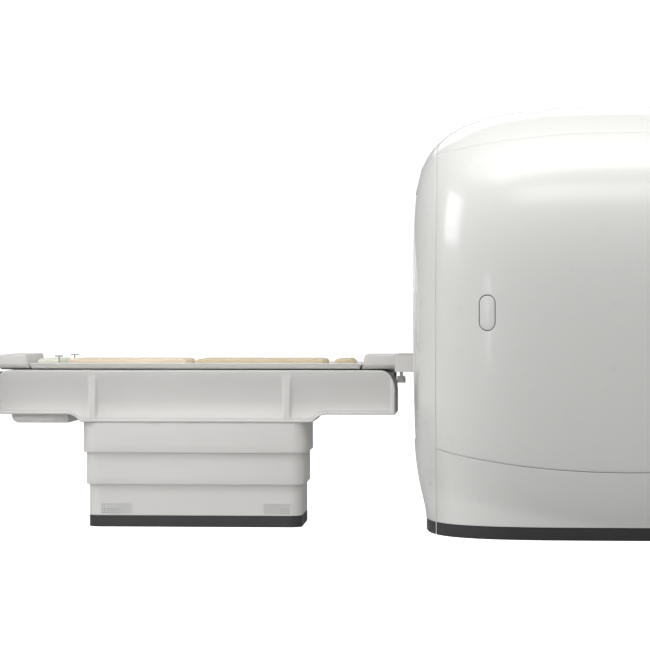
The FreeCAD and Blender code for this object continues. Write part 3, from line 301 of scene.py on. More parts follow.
def stations(low, high, count):
    """Places along a line with a rounded edge at both ends, and how far each is pushed in."""
    inner = np.linspace(0, 1, count)
    edge = EDGE / (high - low)
    near = np.array([0, 0, 0.3 * edge, edge])
    share = np.concatenate([near, edge + (1 - 2 * edge) * inner[1:-1], 1 - near[::-1]])
    push = np.concatenate([[WALL, EDGE, 0.3 * EDGE, 0], np.zeros(count - 2),
                           [0, 0.3 * EDGE, EDGE, WALL]])
    return low + (high - low) * share, push


def resample(curve, places):
    """Points at given shares of a polyline's length."""
    steps = np.linalg.norm(np.diff(curve, axis=0), axis=1)
    run = np.concatenate([[0], np.cumsum(steps)])
    columns = [np.interp(places * run[-1], run, column) for column in curve.T]
    return np.column_stack(columns)


def spaced(curve, count):
    """Stations along a curve, and how far each is pushed in."""
    length = np.linalg.norm(np.diff(curve, axis=0), axis=1).sum()
    places, push = stations(0, length, count)
    return resample(curve, places / length), push


def grid_normals(points, wrap):
    """Unit normals of a grid; its outermost lines, which may be doubled, borrow from further in."""
    if wrap:
        along = np.roll(points, -1, 0) - np.roll(points, 1, 0)
    else:
        along = np.gradient(points, axis=0)
    across = np.gradient(points, axis=1)
    normal = np.cross(along, across)
    size = np.linalg.norm(normal, axis=2, keepdims=True)
    rows, columns = points.shape[:2]
    for j in (0, columns - 1):
        near = 2 if j == 0 else columns - 3
        normal[:, j], size[:, j] = normal[:, near], size[:, near]
    if not wrap:
        for i in (0, rows - 1):
            near = 2 if i == 0 else rows - 3
            normal[i], size[i] = normal[near], size[near]
    return normal / np.maximum(size, 1e-12)


def pushed_in(points, push, place, axis, wrap=False):
    """Moves points along their normals, to the side on which points[place] loses along an axis."""
    shift = grid_normals(points, wrap) * push[..., None]
    if shift[place][axis] > 0:
        shift = -shift
    return points + shift


# ---------------------------------------------------------------- the gantry's form, x from the isocentre
UPPER_RISE, LOWER_RISE = 1.015, 1.150      # from the bore's axis up to the crown, and down past the floor
SKIRT_REACH, SKIRT_HALF, SKIRT_TOP = 0.945, 0.903, 0.43
PLAN_POWER, UPPER_POWER = 3.9, 3.2         # superellipse powers of the plan and of the upper section
SEAM_RADIUS = 4.3                          # both long seams bow at this radius
SEAM = SEAM_GAP / 2
RIM = 0.5207                               # where the end cover starts, outside the funnel
PANEL_X = NOSE_SEAM - SEAM


def smooth_max(a, b, reach):
    overlap = np.maximum(reach - np.abs(a - b), 0) / reach
    return np.maximum(a, b) + overlap ** 2 * reach / 4


def smooth_step(share):
    return share * share * (3 - 2 * share)


def shares(x):
    """Share of the half length, of the full width and of the full height, at a length."""
    t = np.clip(np.abs(x) / HALF_LENGTH, 0, 1)
    return t, (1 - t ** PLAN_POWER) ** (1 / PLAN_POWER), (1 - t ** 2.8) ** (1 / 6.5)


def section_form(t, z):
    """Power and height of the section's upper or lower part."""
    up = z >= BORE_Z
    return np.where(up, UPPER_POWER, 5.4 - 2.6 * t ** 1.5), np.where(up, UPPER_RISE, LOWER_RISE)


def reach_of(x):
    """How far the barrel and the skirt blend into each other."""
    return 0.016 + 0.075 * np.clip((np.abs(x) - 0.35) / 0.55, 0, 1) ** 1.6


def skirt_at(place, reach, half):
    """Half of the skirt's plan outline across, at a place along it."""
    return half * np.maximum(1 - np.abs(place / reach) ** PLAN_POWER, 0) ** (1 / PLAN_POWER)


def half_at(x, z):
    """Half width of the closed cover at a length and a height."""
    t, wide, tall = shares(x)
    power, height = section_form(t, z)
    rise = np.abs(z - BORE_Z) / (height * np.maximum(tall, 1e-6))
    barrel = HALF_WIDTH * wide * np.maximum(1 - rise ** power, 0) ** (1 / power)
    skirt = skirt_at(x, SKIRT_REACH, SKIRT_HALF)
    return np.where(z < SKIRT_TOP, smooth_max(barrel, skirt, reach_of(x)), barrel)


def section_radius(x, angle):
    """Distance from the bore axis to the cover in the upper half of a section."""
    _, wide, tall = shares(x)
    return (np.abs(np.cos(angle) / (HALF_WIDTH * wide)) ** UPPER_POWER
            + np.abs(np.sin(angle) / (UPPER_RISE * tall)) ** UPPER_POWER) ** (-1 / UPPER_POWER)


def bisected(low, high, inside, turns):
    for _ in range(turns):
        middle = (low + high) / 2
        within = inside(middle)
        low, high = np.where(within, middle, low), np.where(within, high, middle)
    return low


def face_at(y, z):
    """How far the closed cover reaches from the isocentre along the bore, at a place in its face."""
    def in_barrel(x):
        t, wide, tall = shares(x)
        power, height = section_form(t, z)
        return (np.abs(y) / np.maximum(HALF_WIDTH * wide, 1e-9)) ** power + (
            np.abs(z - BORE_Z) / np.maximum(height * tall, 1e-9)) ** power < 1

    end = np.full_like(y, HALF_LENGTH)
    barrel = bisected(np.zeros_like(y), end, in_barrel, 40)
    middle_part = smooth_max(barrel, skirt_at(y, SKIRT_HALF, SKIRT_REACH), 0.10)
    corner = bisected(np.full_like(y, 0.6), end, lambda x: half_at(x, z) > np.abs(y), 30)
    share = smooth_step(np.clip((np.abs(y) - 0.22) / 0.33, 0, 1))
    return np.where(z < SKIRT_TOP, corner * share + middle_part * (1 - share), barrel)


def upper_seam(x):
    return 1.900 - x * x / (2 * SEAM_RADIUS)


def lower_seam(x):
    return 0.319 + x * x / (2 * SEAM_RADIUS)


def placed(points, side=1.0):
    """From isocentre coordinates to the row frame, mirrored to the far side if side is -1."""
    out = np.array(points, float).reshape(-1, 3)
    out[:, 1] *= -side
    out[:, 0] += ISO_X
    return out


def from_axis(centre):
    """The way out of the gantry, away from the bore's axis."""
    return Vector((0, centre.y, centre.z - BORE_Z))


def wall_grid(x_line, x_push, low, high, count):
    """Side wall between two heights: a grid of (x, half width, z) and how far each is pushed in."""
    rows = []
    for x in x_line:
        z = np.linspace(low(x), high(x), 900)
        row, push = spaced(np.column_stack([np.full_like(z, x), half_at(x, z), z]), count)
        rows.append(row)
    return np.array(rows), np.maximum(x_push[:, None], push[None, :])


def stadium_radius(angle, half_width, half_height):
    """Distance from a stadium's middle to its outline, angle from +x towards +z."""
    straight = half_height - half_width
    c, s = np.abs(np.cos(angle)), np.abs(np.sin(angle))
    flat = half_width / np.maximum(c, 1e-9)
    ends = straight * s + np.sqrt(np.maximum(half_width ** 2 - (straight * c) ** 2, 0))
    return np.where(flat * s <= straight, flat, ends)


CAP_X, CAP_Z, CAP_W, CAP_H = -0.650, 1.054, 0.0385, 0.0845
GROOVE = 0.0042         # gap between the cap and its opening


def side_normal(x, z):
    """Outward normal of the side wall."""
    step = 0.002
    slope_x = (half_at(x + step, z) - half_at(x - step, z)) / (2 * step)
    slope_z = (half_at(x, z + step) - half_at(x, z - step)) / (2 * step)
    normal = np.stack([-slope_x, np.ones_like(slope_x), -slope_z], -1)
    return normal / np.linalg.norm(normal, axis=-1, keepdims=True)


def on_side(x, z, depth):
    """Points on the side wall, or a depth behind it."""
    return np.stack([x, half_at(x, z), z], -1) - side_normal(x, z) * depth


def side_panel(name, node, side):
    """Panel between the long seams, with the stadium opening for its cap knitted into the grid."""
    x_line, x_push = stations(-PANEL_X, PANEL_X, 120)
    points, push = wall_grid(x_line, x_push, lambda x: lower_seam(x) + SEAM,
                             lambda x: upper_seam(x) - SEAM / 4, 96)
    grid = pushed_in(points, push, (0, 50), 1)
    rows, columns = points.shape[:2]
    span = 0.030        # from the opening's edge to the plain grid
    i0 = int(np.searchsorted(x_line, CAP_X - CAP_W - span))
    i1 = int(np.searchsorted(x_line, CAP_X + CAP_W + span))
    middle = (i0 + i1) // 2
    j0 = int(np.searchsorted(points[middle, :, 2], CAP_Z - CAP_H - span))
    j1 = int(np.searchsorted(points[middle, :, 2], CAP_Z + CAP_H + span))
    faces = grid_faces(rows, columns, skip=lambda i, j: i0 <= i < i1 and j0 <= j < j1)
    loop = ([(i, j0) for i in range(i0, i1)] + [(i1, j) for j in range(j0, j1)]
            + [(i, j1) for i in range(i1, i0, -1)] + [(i0, j) for j in range(j1, j0, -1)])
    outer = np.array([points[i, j][[0, 2]] for i, j in loop])
    angle = np.arctan2(outer[:, 1] - CAP_Z, outer[:, 0] - CAP_X)
    rim = stadium_radius(angle, CAP_W, CAP_H)
    inner = np.column_stack([CAP_X + rim * np.cos(angle), CAP_Z + rim * np.sin(angle)])
    away = (outer - inner) / np.linalg.norm(outer - inner, axis=1, keepdims=True)
    all_points = [grid.reshape(-1, 3)]
    previous = [i * columns + j for i, j in loop]
    count = rows * columns
    flats = [(inner + (outer - inner) * share, 0) for share in (0.72, 0.45, 0.22)]
    flats += [(inner + away * out, depth) for out, depth in (
        (0.004, 0), (0.0016, 0.0001), (0.0006, 0.0007), (0, 0.0019), (0, 0.012))]
    for flat, depth in flats:
        all_points.append(on_side(flat[:, 0], flat[:, 1], depth))
        here = [count + k for k in range(len(loop))]
        for k in range(len(loop)):
            m = (k + 1) % len(loop)
            faces.append((previous[k], previous[m], here[m], here[k]))
        previous = here
        count += len(loop)
    obj = make(name, placed(np.vstack(all_points), side), faces, "scanner", WHITE)
    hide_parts(node)
    facing(obj, from_axis)


def access_cap(name, side):
    """Flush cap with a crowned face inside the panel's stadium opening, and a dark disc behind it that
    paints shade into the groove round the cap.
    """
    count = 96
    turns = np.linspace(0, 2 * math.pi, count, endpoint=False)

    def ring(half_width, half_height, share, depth):
        r = stadium_radius(turns, half_width, half_height) * share
        return on_side(CAP_X + r * np.cos(turns), CAP_Z + r * np.sin(turns), depth)

    levels = [(0.0, 0.0014), (0.25, 0.0013), (0.5, 0.0011), (0.75, 0.0007), (0.9, 0.0001), (0.965, -0.0006),
              (0.99, -0.0016), (1.0, -0.0032), (1.0, -0.012)]
    cap = np.array([ring(CAP_W - GROOVE, CAP_H - GROOVE, share, -lift) for share, lift in levels])
    # The dark disc behind the cap is painted shade: it makes the groove round the cap read as a shadowed
    # gap.
    painted_groove_shade = np.array([ring(CAP_W + 0.008, CAP_H + 0.008, share, 0.0105) for share in (1, 0)])
    for grid, suffix, material in ((cap, "", WHITE), (painted_groove_shade, "_seat", DARK)):
        faces = grid_faces(count, len(grid), wrap=True)
        obj = make(name + suffix, placed(grid.transpose(1, 0, 2), side), faces, "scanner", material)
        facing(obj, from_axis)
        if not suffix:
            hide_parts("access_caps")


def lower_panel(name, node, side):
    x_line, x_push = stations(-PANEL_X, PANEL_X, 120)
    points, push = wall_grid(x_line, x_push, lambda x: PLINTH_TOP + 0.0005,
                             lambda x: lower_seam(x) - SEAM, 56)
    grid = pushed_in(points, push, (60, 0), 1)
    obj = make(name, placed(grid, side), grid_faces(*points.shape[:2]), "scanner", WHITE)
    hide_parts(node)
    facing(obj, from_axis)


def top_cover():
    x_line, x_push = stations(-PANEL_X, PANEL_X, 110)
    rows = []
    for x in x_line:
        z = upper_seam(x) + SEAM / 4
        start = math.atan2(z - BORE_Z, float(half_at(x, np.array(z))))
        angle = np.linspace(start, math.pi - start, 1200)
        radius = section_radius(x, angle)
        curve = np.column_stack([np.full_like(angle, x), radius * np.cos(angle),
                                 BORE_Z + radius * np.sin(angle)])
        row, push = spaced(curve, 90)
        rows.append(row)
    points = np.array(rows)
    grid = pushed_in(points, np.maximum(x_push[:, None], push[None, :]), (0, 45), 2)
    obj = make("top_cover_skin", placed(grid), grid_faces(*points.shape[:2]), "scanner", WHITE)
    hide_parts("top_cover")
    facing(obj, from_axis)


def nose(name, node, end):
    """End cover: from the ring round the bore mouth out to the seam and down to the plinth."""
    x_seam = NOSE_SEAM + SEAM
    z = np.linspace(PLINTH_TOP + 0.0005, BORE_Z, 700)
    right = np.column_stack([half_at(np.full_like(z, x_seam), z), z])
    angle = np.linspace(0, math.pi / 2, 700)
    radius = section_radius(x_seam, angle)
    upper = np.column_stack([radius * np.cos(angle), BORE_Z + radius * np.sin(angle)])
    half_line = resample(np.vstack([right, upper[1:]]), np.linspace(0, 1, 150))
    bottom = np.column_stack([np.linspace(-half_line[0, 0], half_line[0, 0], 70)[:-1],
                              np.full(69, half_line[0, 1])])
    outline = np.vstack([bottom, half_line, half_line[::-1][1:-1] * [-1, 1]])
    angles = np.arctan2(outline[:, 1] - BORE_Z, outline[:, 0])
    rays = []
    for (y1, z1), a in zip(outline, angles):
        y0, z0 = RIM * math.cos(a), BORE_Z + RIM * math.sin(a)
        share = np.linspace(0, 1, 260)
        y, z = y0 + (y1 - y0) * share, z0 + (z1 - z0) * share
        ray, push = spaced(np.column_stack([face_at(y, z), y, z]), 44)
        rays.append(ray)
    points = np.array(rays)
    grid = pushed_in(points, np.broadcast_to(push[None, :], points.shape[:2]), (200, 0), 0, wrap=True)
    grid[..., 0] *= end
    obj = make(name, placed(grid), grid_faces(*points.shape[:2], wrap=True), "scanner", WHITE)
    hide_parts(node)
    facing(obj, lambda centre: Vector((end, 0, 0)))


def funnel(name, node, end):
    """Trumpet mouth with a rolled rim that laps over the cover."""
    throat_x, throat_r, turns = 0.6203, 0.350, 160
    run, rise = 0.990 - throat_x, 0.496 - throat_r
    big = (run ** 2 + rise ** 2) / (2 * rise)
    flare = [(throat_x + big * math.sin(s), throat_r + big * (1 - math.cos(s)))
             for s in np.linspace(0, math.asin(run / big) * 0.985, 40)]
    roll = [(0.9895 + 0.0125 * math.sin(s), 0.508 - 0.0120 * math.cos(s))
            for s in np.linspace(0.25, math.pi - 0.1, 16)]
    back = [(0.985, 0.5203), (0.960, 0.5203), (0.893, 0.5203), (0.893, 0.5163), (0.960, 0.5163)]
    profile = np.array(flare + roll + back)
    angle, radius = np.meshgrid(np.linspace(0, 2 * math.pi, turns, endpoint=False), profile[:, 1],
                                indexing="ij")
    along = np.broadcast_to(end * profile[:, 0], angle.shape)
    points = np.stack([along, radius * np.cos(angle), radius * np.sin(angle)], -1)
    obj = make(name, (points + [ISO_X, 0, BORE_Z]).reshape(-1, 3),
               grid_faces(turns, len(profile), wrap=True), "scanner", WHITE)
    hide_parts(node)
    facing(obj, lambda centre: Vector((end, 0, 0)))


side_panel("side_skin_near", "side_panel_near", 1)
side_panel("side_skin_far", "side_panel_far", -1)
access_cap("access_cap_near", 1)
access_cap("access_cap_far", -1)
lower_panel("lower_skin_near", "lower_panel_near", 1)
lower_panel("lower_skin_far", "lower_panel_far", -1)
top_cover()
nose("front_skin", "front_cover", -1)
nose("rear_skin", "rear_cover", 1)
funnel("front_mouth", "front_funnel", -1)
funnel("rear_mouth", "rear_funnel", 1)


# ---------------------------------------------------------------- patient table, x from its middle
BEAM_HALF, DECK_Z, BEAM_LOW, SADDLE_LOW = 0.987, 0.773, 0.556, 0.518
SADDLE_L, SADDLE_R, FILLET, DROP, LIP = -0.564, 0.582, 0.070, 0.038, 0.012
FIN_L, FIN_R = -0.502, 0.457
END_CURVE, END_FALL = 0.075, 0.108      # length and depth of the rounded top corner at each end
DECK_END = 0.903                        # the cover is open on top for the deck up to here,
SLOT_END, SLOT_HALF = 0.962, 0.008      # and for the drive slot up to here
FLANGE_Y = 0.2832
COVE = ((0.518, 0.2870), (0.534, 0.2862), (0.552, 0.2730), (0.580, 0.2560), (0.610, 0.2500),
        (0.655, 0.2560), (0.700, 0.2665), (0.745, 0.2795), (0.773, 0.2830))
OUTER, INNER = 43, 8                    # points on the outside and the inside of a cover section


def smooth_line(table, value):
    """A smooth curve through a short table, by averaging its straight runs."""
    places = np.array([p[0] for p in table])
    sizes = np.array([p[1] for p in table])
    offsets = np.linspace(-0.014, 0.014, 15)
    return np.mean([np.interp(value + o, places, sizes) for o in offsets], axis=0)


def beam_low(x):
    """Underside of the cover: the saddle over the pedestal, and a fillet up to each arm."""
    radius = (FILLET ** 2 + DROP ** 2) / (2 * DROP)
    run = np.where(x < SADDLE_L, x - (SADDLE_L - FILLET), (SADDLE_R + FILLET) - x)
    curve = BEAM_LOW - radius + np.sqrt(np.maximum(radius ** 2 - np.clip(run, 0, FILLET) ** 2, 0))
    arm = np.where(run < 0, BEAM_LOW, curve)
    return np.where((x < SADDLE_L) | (x > SADDLE_R), arm, SADDLE_LOW)


def beam_top(x):
    """The end's top corner falls away in a wide curve."""
    fall = np.clip((np.abs(x) - (BEAM_HALF - END_CURVE)) / END_CURVE, 0, 1)
    return DECK_Z - END_FALL * (1 - (1 - fall ** 2.2) ** (1 / 2.2))


def fin_share(x):
    near = [np.clip((0.026 - np.abs(x - middle)) / 0.014, 0, 1) for middle in (FIN_L, FIN_R)]
    return smooth_step(np.maximum(*near))


def cove_at(x, z):
    """Half width of the table's cover, with its two fins and the flange at each end."""
    base = smooth_line(COVE, z)
    proud = 0.2822 + 0.0052 * np.clip((0.70 - z) / 0.16, 0, 1)
    base = base + (proud - base) * fin_share(x) * smooth_step(np.clip((0.758 - z) / 0.03, 0, 1))
    rim = np.maximum(np.abs(x) - (BEAM_HALF - 0.024),
                     (0.020 - (beam_top(x) - z)) * (np.abs(x) > 0.93))
    flange = smooth_step(np.clip(rim / 0.009, 0, 1))
    return base + (FLANGE_Y - np.minimum(base, FLANGE_Y)) * flange


def body_cover():
    """The cover's two halves; the near one is swept along the beam, and the far one mirrors it."""
    trim, trim_run = 0.0014, 0.0016
    ends = (-BEAM_HALF, -0.90, -0.65, -0.556, -0.535, -0.469, 0.425, 0.490, 0.574, 0.660, 0.90, BEAM_HALF)
    counts = (26, 9, 26, 4, 30, 26, 30, 6, 26, 9, 26)
    lines = [np.linspace(low, high, count) for low, high, count in zip(ends, ends[1:], counts)]
    rings = [(x, near_side(x)) for x in np.unique(np.round(np.concatenate(lines), 6))]
    for end in (-1, 1):
        outer = rings[-1 if end > 0 else 0][1][:OUTER]
        inner = np.column_stack([np.zeros(INNER), np.linspace(outer[-1, 1], outer[0, 1], INNER)])
        closed = np.vstack([outer, inner])
        middle = (closed[:, 1].min() + closed[:, 1].max()) / 2
        trimmed = closed - np.column_stack([trim * (closed[:, 0] > 0),
                                            trim * np.sign(closed[:, 1] - middle)])
        caps = [(end * (BEAM_HALF - trim_run), closed), (end * BEAM_HALF, trimmed)]
        rings = rings + caps if end > 0 else caps[::-1] + rings
    near = np.array([[(x + TABLE_X, y, z) for y, z in ring] for x, ring in rings]).reshape(-1, 3)
    faces = ring_faces(len(rings), OUTER + INNER)
    faces += [tuple(len(near) + v for v in reversed(f)) for f in faces]
    obj = make("table_body_skin", np.vstack([near, near * [1, -1, 1]]), faces, "lift_table", COVER)
    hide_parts("table_body_cover")


def near_side(x):
    """Closed section of half the cover: outside from the top to the foot, then back up inside."""
    xa = np.array(x)
    low, high = float(beam_low(xa)), float(beam_top(xa))
    z_lip = low + LIP
    lip_y = max(0.2838, float(cove_at(xa, np.array(z_lip))) + 0.0018)
    z = np.linspace(high - 0.0022, z_lip + 0.0045, 200)
    side = resample(np.column_stack([cove_at(np.full_like(z, x), z), z]), np.linspace(0, 1, 30))
    top_y, under_y = side[0, 0], side[-1, 0]
    edge_y = 0.2745 if abs(x) < DECK_END else SLOT_HALF if abs(x) < SLOT_END else 0.0
    foot_y = 0.2834 if SADDLE_L + 0.002 < x < SADDLE_R - 0.002 else 0.0
    start = [(edge_y, high), (max(edge_y, 0.2765), high), (top_y - 0.0028, high),
             (top_y - 0.0008, high - 0.0007)]
    end = [(under_y - 0.0012, z_lip + 0.0022), (under_y + 0.0004, z_lip + 0.0004),
           (lip_y - 0.0012, z_lip), (lip_y, z_lip - 0.0014), (lip_y, low + 0.0030),
           (lip_y - 0.0012, low + 0.0008), (lip_y - 0.0035, low), (max(foot_y, 0.281), low), (foot_y, low)]
    wall = [(float(cove_at(np.array(0.0), np.array(v))) - 0.0045, v)
            for v in np.linspace(low + 0.020, high - 0.006, INNER - 2)]
    inner = [(foot_y - 0.0002 if foot_y else 0, low + 0.004)] + wall + [(edge_y, high - 0.004)]
    return np.array(start + [tuple(p) for p in side] + end + inner)


def loft(name, sections, body, material, node):
    """Closed sections, each a list of (x, y, z), joined in order, in place of a CAD node."""
    grid = np.array(sections, float)
    points = grid.reshape(-1, 3) + [TABLE_X, 0, 0]
    obj = make(name, points, ring_faces(*grid.shape[:2]), body, material)
    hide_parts(node)


def mirrored(half):
    return half + [(-y, z) for y, z in reversed(half) if y > 1e-6]


def tabletop():
    """Thin carbon-shell bed: dished top, rolled rim, keel that clears the bore, and raked ends."""
    low, high, middle = 0.7790, 0.8080, 0.7935
    loop = mirrored([
        (0, 0.7990), (0.12, 0.7990), (0.2230, 0.7991), (0.2275, 0.8000), (0.2320, 0.8055), (0.2350, 0.8075),
        (0.2390, high), (0.2445, high), (0.2478, 0.8068), (0.2490, 0.8048), (0.2480, 0.8024),
        (0.2445, 0.8005), (0.2420, 0.7980), (0.2405, 0.7955), (0.2395, 0.7932), (0.2372, 0.7900),
        (0.2345, 0.7872), (0.2300, 0.7828), (0.2260, 0.7800), (0.2200, low), (0.12, low), (0, low)])
    end = ((0.780, 0), (0.8200, 0), (0.8218, 0.0003), (0.8230, 0.0015))
    places = [(-x, inset) for x, inset in reversed(end)] + [(-0.4, 0), (0, 0), (0.4, 0)] + list(end)
    sections = []
    for x, inset in places:
        ring = []
        for y, z in loop:
            rake = 0.012 * (high - z) / 0.029 if abs(x) > 0.79 else 0
            ring.append((x - math.copysign(rake, x), y * (1 - inset * 4), z + (middle - z) * inset * 40))
        sections.append(ring)
    loft("tabletop_shell", sections, "moving_top", SHELL, "tabletop")


def arch(half_width, low, high, radius, keel, keel_rise):
    """Section of an end block: flat foot, rising keel, upright side and round shoulder."""
    half = [(0, low), (keel * 0.6, low), (keel - 0.004, low), (keel + 0.001, low + 0.0008)]
    half += [(half_width - 0.0035, low + keel_rise - 0.002),
             (half_width - 0.0008, low + keel_rise + 0.002), (half_width, low + keel_rise + 0.006)]
    half += [(half_width - radius + radius * math.cos(a), high - radius + radius * math.sin(a))
             for a in np.linspace(0, math.pi / 2, 9)]
    half += [(half_width * 0.5, high), (0, high)]
    return mirrored(half)


def end_block(name, node, end, half_width, round_far):
    """Block on the tabletop's end, leaning at the pads and rounded over at its outer end."""
    low, high, near, far = 0.7793, 0.849, 0.8235, 0.987
    lean, keel, keel_rise, radius, round_run = 0.014, 0.215, 0.018, 0.010, 0.14
    loop = arch(half_width, low, high, radius, keel, keel_rise)
    sections = []
    for share, inset in ((0, 0.0022), (0.006, 0.0006), (0.02, 0), (0.25, 0), (0.5, 0), (0.75, 0),
                         (0.86, 0), (0.93, 0), (0.97, 0), (0.99, 0), (1.0, 0)):
        run = min(max((share - 1 + round_run) / round_run, 0), 1)
        top = high - round_far * (1 - math.sqrt(1 - run ** 2))
        ring = []
        for y, z in loop:
            x = near + (far - near) * share + lean * (z - low) / (high - low) * max(0, 1 - share * 4)
            z = min(z, top)
            ring.append((end * x, y * (1 - inset * 3), z - (z - (low + high) / 2) * inset * 8))
        sections.append(ring)
    loft(name, sections, "moving_top", SHELL, node)


def plan_loop(half_x, half_y, corner, count=16):
    """Rounded rectangle about the origin."""
    loop = []
    for cx, cy, start in ((1, 1, 0), (-1, 1, 1), (-1, -1, 2), (1, -1, 3)):
        for a in np.linspace(0, math.pi / 2, count):
            angle = start * math.pi / 2 + a
            loop.append((cx * (half_x - corner) + corner * math.cos(angle),
                         cy * (half_y - corner) + corner * math.sin(angle)))
    return loop


def sleeve(name, node, half_x, half_y, corner, bottom, top, body):
    """One telescoping cover with rolled edges; it leans in slightly towards its top."""
    levels = [(bottom + 0.10, 0.004), (bottom + 0.002, 0.004), (bottom, 0.0028), (bottom, 0.0016),
              (bottom + 0.0006, 0.0005), (bottom + 0.002, 0), (bottom + 0.05, 0), (top - 0.05, 0.0004),
              (top - 0.003, 0.0004), (top - 0.001, 0.0010), (top, 0.0022), (top, 0.004),
              (top - 0.004, 0.004)]
    rings = [[(x + TABLE_X, y, z) for x, y in plan_loop(half_x - inset, half_y - inset, corner - inset)]
             for z, inset in levels]
    grid = np.array(rings).transpose(1, 0, 2)
    obj = make(name, grid.reshape(-1, 3), grid_faces(*grid.shape[:2], wrap=True), body, COVER)
    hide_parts(node)


def deck():
    """Deck in two halves either side of the drive slot, with rolled edges."""
    half_length, low = 0.900, 0.765
    across = np.linspace(-half_length, half_length, 41)
    for name, side in (("deck_near", -1), ("deck_far", 1)):
        rows = []
        for y, lift in ((SLOT_HALF, 0.0012), (0.0086, 0.0003), (0.010, 0), (0.14, 0), (0.2725, 0),
                        (0.2738, 0.0004), (0.2742, 0.0012)):
            rows.append([(x, side * y, DECK_Z - lift) for x in across]
                        + [(x, side * y, low) for x in across[::-1]])
        loft(name, rows, "lift_table", COVER, "table_deck")


def tray():
    """Service tray under the beam: one large lower corner at its foot end, soft edges all round."""
    low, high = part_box("under_beam_box")
    left, right = low.x - 0.012 - TABLE_X, high.x - TABLE_X
    corner = 0.038
    side = [(right, high.z), (right, low.z)]
    side += [(left + corner - corner * math.sin(a), low.z + corner - corner * math.cos(a))
             for a in np.linspace(0, math.pi / 2, 10)]
    side += [(left, high.z)]
    middle_x, middle_z = (left + right) / 2, (low.z + high.z) / 2
    edge = ((0.197, 0), (0.199, 0.0012), (0.2, 0.0035))
    sections = []
    for y, inset in [(-y, inset) for y, inset in reversed(edge)] + [(0, 0)] + list(edge):
        sections.append([(x - np.sign(x - middle_x) * inset, y,
                          z - np.sign(z - middle_z) * inset * (z < high.z)) for x, z in side])
    loft("under_beam_tray", sections, "lift_table", COVER, "under_beam_box")


body_cover()
deck()
tabletop()
end_block("head_block_shell", "head_block", 1, 0.235, 0)
end_block("foot_block_shell", "foot_block", -1, 0.250, 0.018)
sleeve("upper_tier", "upper_cover", 0.556, 0.2825, 0.077, 0.368, 0.5175, "lift_table")
sleeve("mid_tier", "mid_cover", 0.542, 0.2655, 0.0685, 0.210, 0.388, "middle_tier")
tray()


# ---------------------------------------------------------------- pads, blown up by a short cloth simulation
CROWN = 0.007           # the furthest that a point of a pad may swell
SEWN_LENGTH = 0.32      # about how long a sewn panel is


def coordinates(mesh):
    co = np.zeros(len(mesh.vertices) * 3, np.float32)
    mesh.vertices.foreach_get("co", co)
    return co.reshape(-1, 3).astype(float)


def set_coordinates(mesh, points):
    mesh.vertices.foreach_set("co", points.astype(np.float32).ravel())


def bake(obj):
    """Applies the modifiers to the mesh and removes them."""
    graph = bpy.context.evaluated_depsgraph_get()
    made = bpy.data.meshes.new_from_object(obj.evaluated_get(graph), depsgraph=graph)
    obj.modifiers.clear()
    old = obj.data
    obj.data = made
    bpy.data.meshes.remove(old)


def pad_block(name, low, high, slant):
    """The pad before it swells: a block a little smaller than its CAD solid, remeshed."""
    size, middle = high - low, (low + high) / 2
    half_x, half_y = size[0] / 2 - 0.0055, size[1] / 2 - 0.0055
    levels = [(low[2] + 0.0012, 0.0060), (low[2] + 0.0040, 0.0012), (low[2] + size[2] * 0.45, 0.0),
              (high[2] - 0.0115, 0.0016), (high[2] - 0.0080, 0.0085)]
    work = bmesh.new()
    rings = []
    for z, inset in levels:
        lean = slant * (z - low[2]) / size[2]
        rings.append([work.verts.new((middle[0] + x - (lean if x > 0 else 0), middle[1] + y, z))
                      for x, y in plan_loop(half_x - inset, half_y - inset, 0.016, 6)])
    count = len(rings[0])
    for a, b in zip(rings, rings[1:]):
        for k in range(count):
            m = (k + 1) % count
            work.faces.new((a[k], a[m], b[m], b[k]))
    work.faces.new(list(reversed(rings[0])))
    work.faces.new(rings[-1])
    bmesh.ops.recalc_face_normals(work, faces=work.faces)
    mesh = bpy.data.meshes.new(name)
    work.to_mesh(mesh)
    work.free()
    obj = bpy.data.objects.new(name, mesh)
    scene.collection.objects.link(obj)
    remesh = obj.modifiers.new("remesh", "REMESH")
    remesh.mode = "VOXEL"
    remesh.voxel_size = 0.006
    bake(obj)
    return obj


def inflate(obj):
    cloth = obj.modifiers.new("cloth", "CLOTH").settings
    cloth.use_pressure = True
    cloth.uniform_pressure_force = 4
    cloth.quality = 4
    cloth.mass = 0.3
    cloth.tension_stiffness = 12
    cloth.compression_stiffness = 12
    cloth.bending_stiffness = 0.6
    cloth.effector_weights.gravity = 0
    for step in range(1, 21):
        scene.frame_set(step)
    bake(obj)
    scene.frame_set(1)


def sewn(obj, low, size, middle_x):
    """Presses the seam round the sides, and the sewn lines across the top, into the cover."""
    co = coordinates(obj.data)
    normals = np.zeros(len(co) * 3, np.float32)
    obj.data.vertex_normals.foreach_get("vector", normals)
    normals = normals.reshape(-1, 3)
    side = 1 - np.abs(normals[:, 2])
    seam_z = low[2] + size[2] * 0.42
    groove = np.exp(-((co[:, 2] - seam_z) / 0.0026) ** 2) * np.clip(side * 2 - 0.8, 0, 1)
    panels = max(1, round(size[0] / SEWN_LENGTH))
    phase = ((co[:, 0] - middle_x) / (size[0] / 2) + 1) / 2 * panels
    off_line = (phase - np.round(phase)) * size[0] / panels
    quilt = np.exp(-(off_line / 0.004) ** 2) * np.clip(normals[:, 2] * 2 - 1, 0, 1)
    quilt[(phase < 0.4) | (phase > panels - 0.4)] = 0
    return co - normals * (groove * 0.0016 + quilt * 0.0022)[:, None]


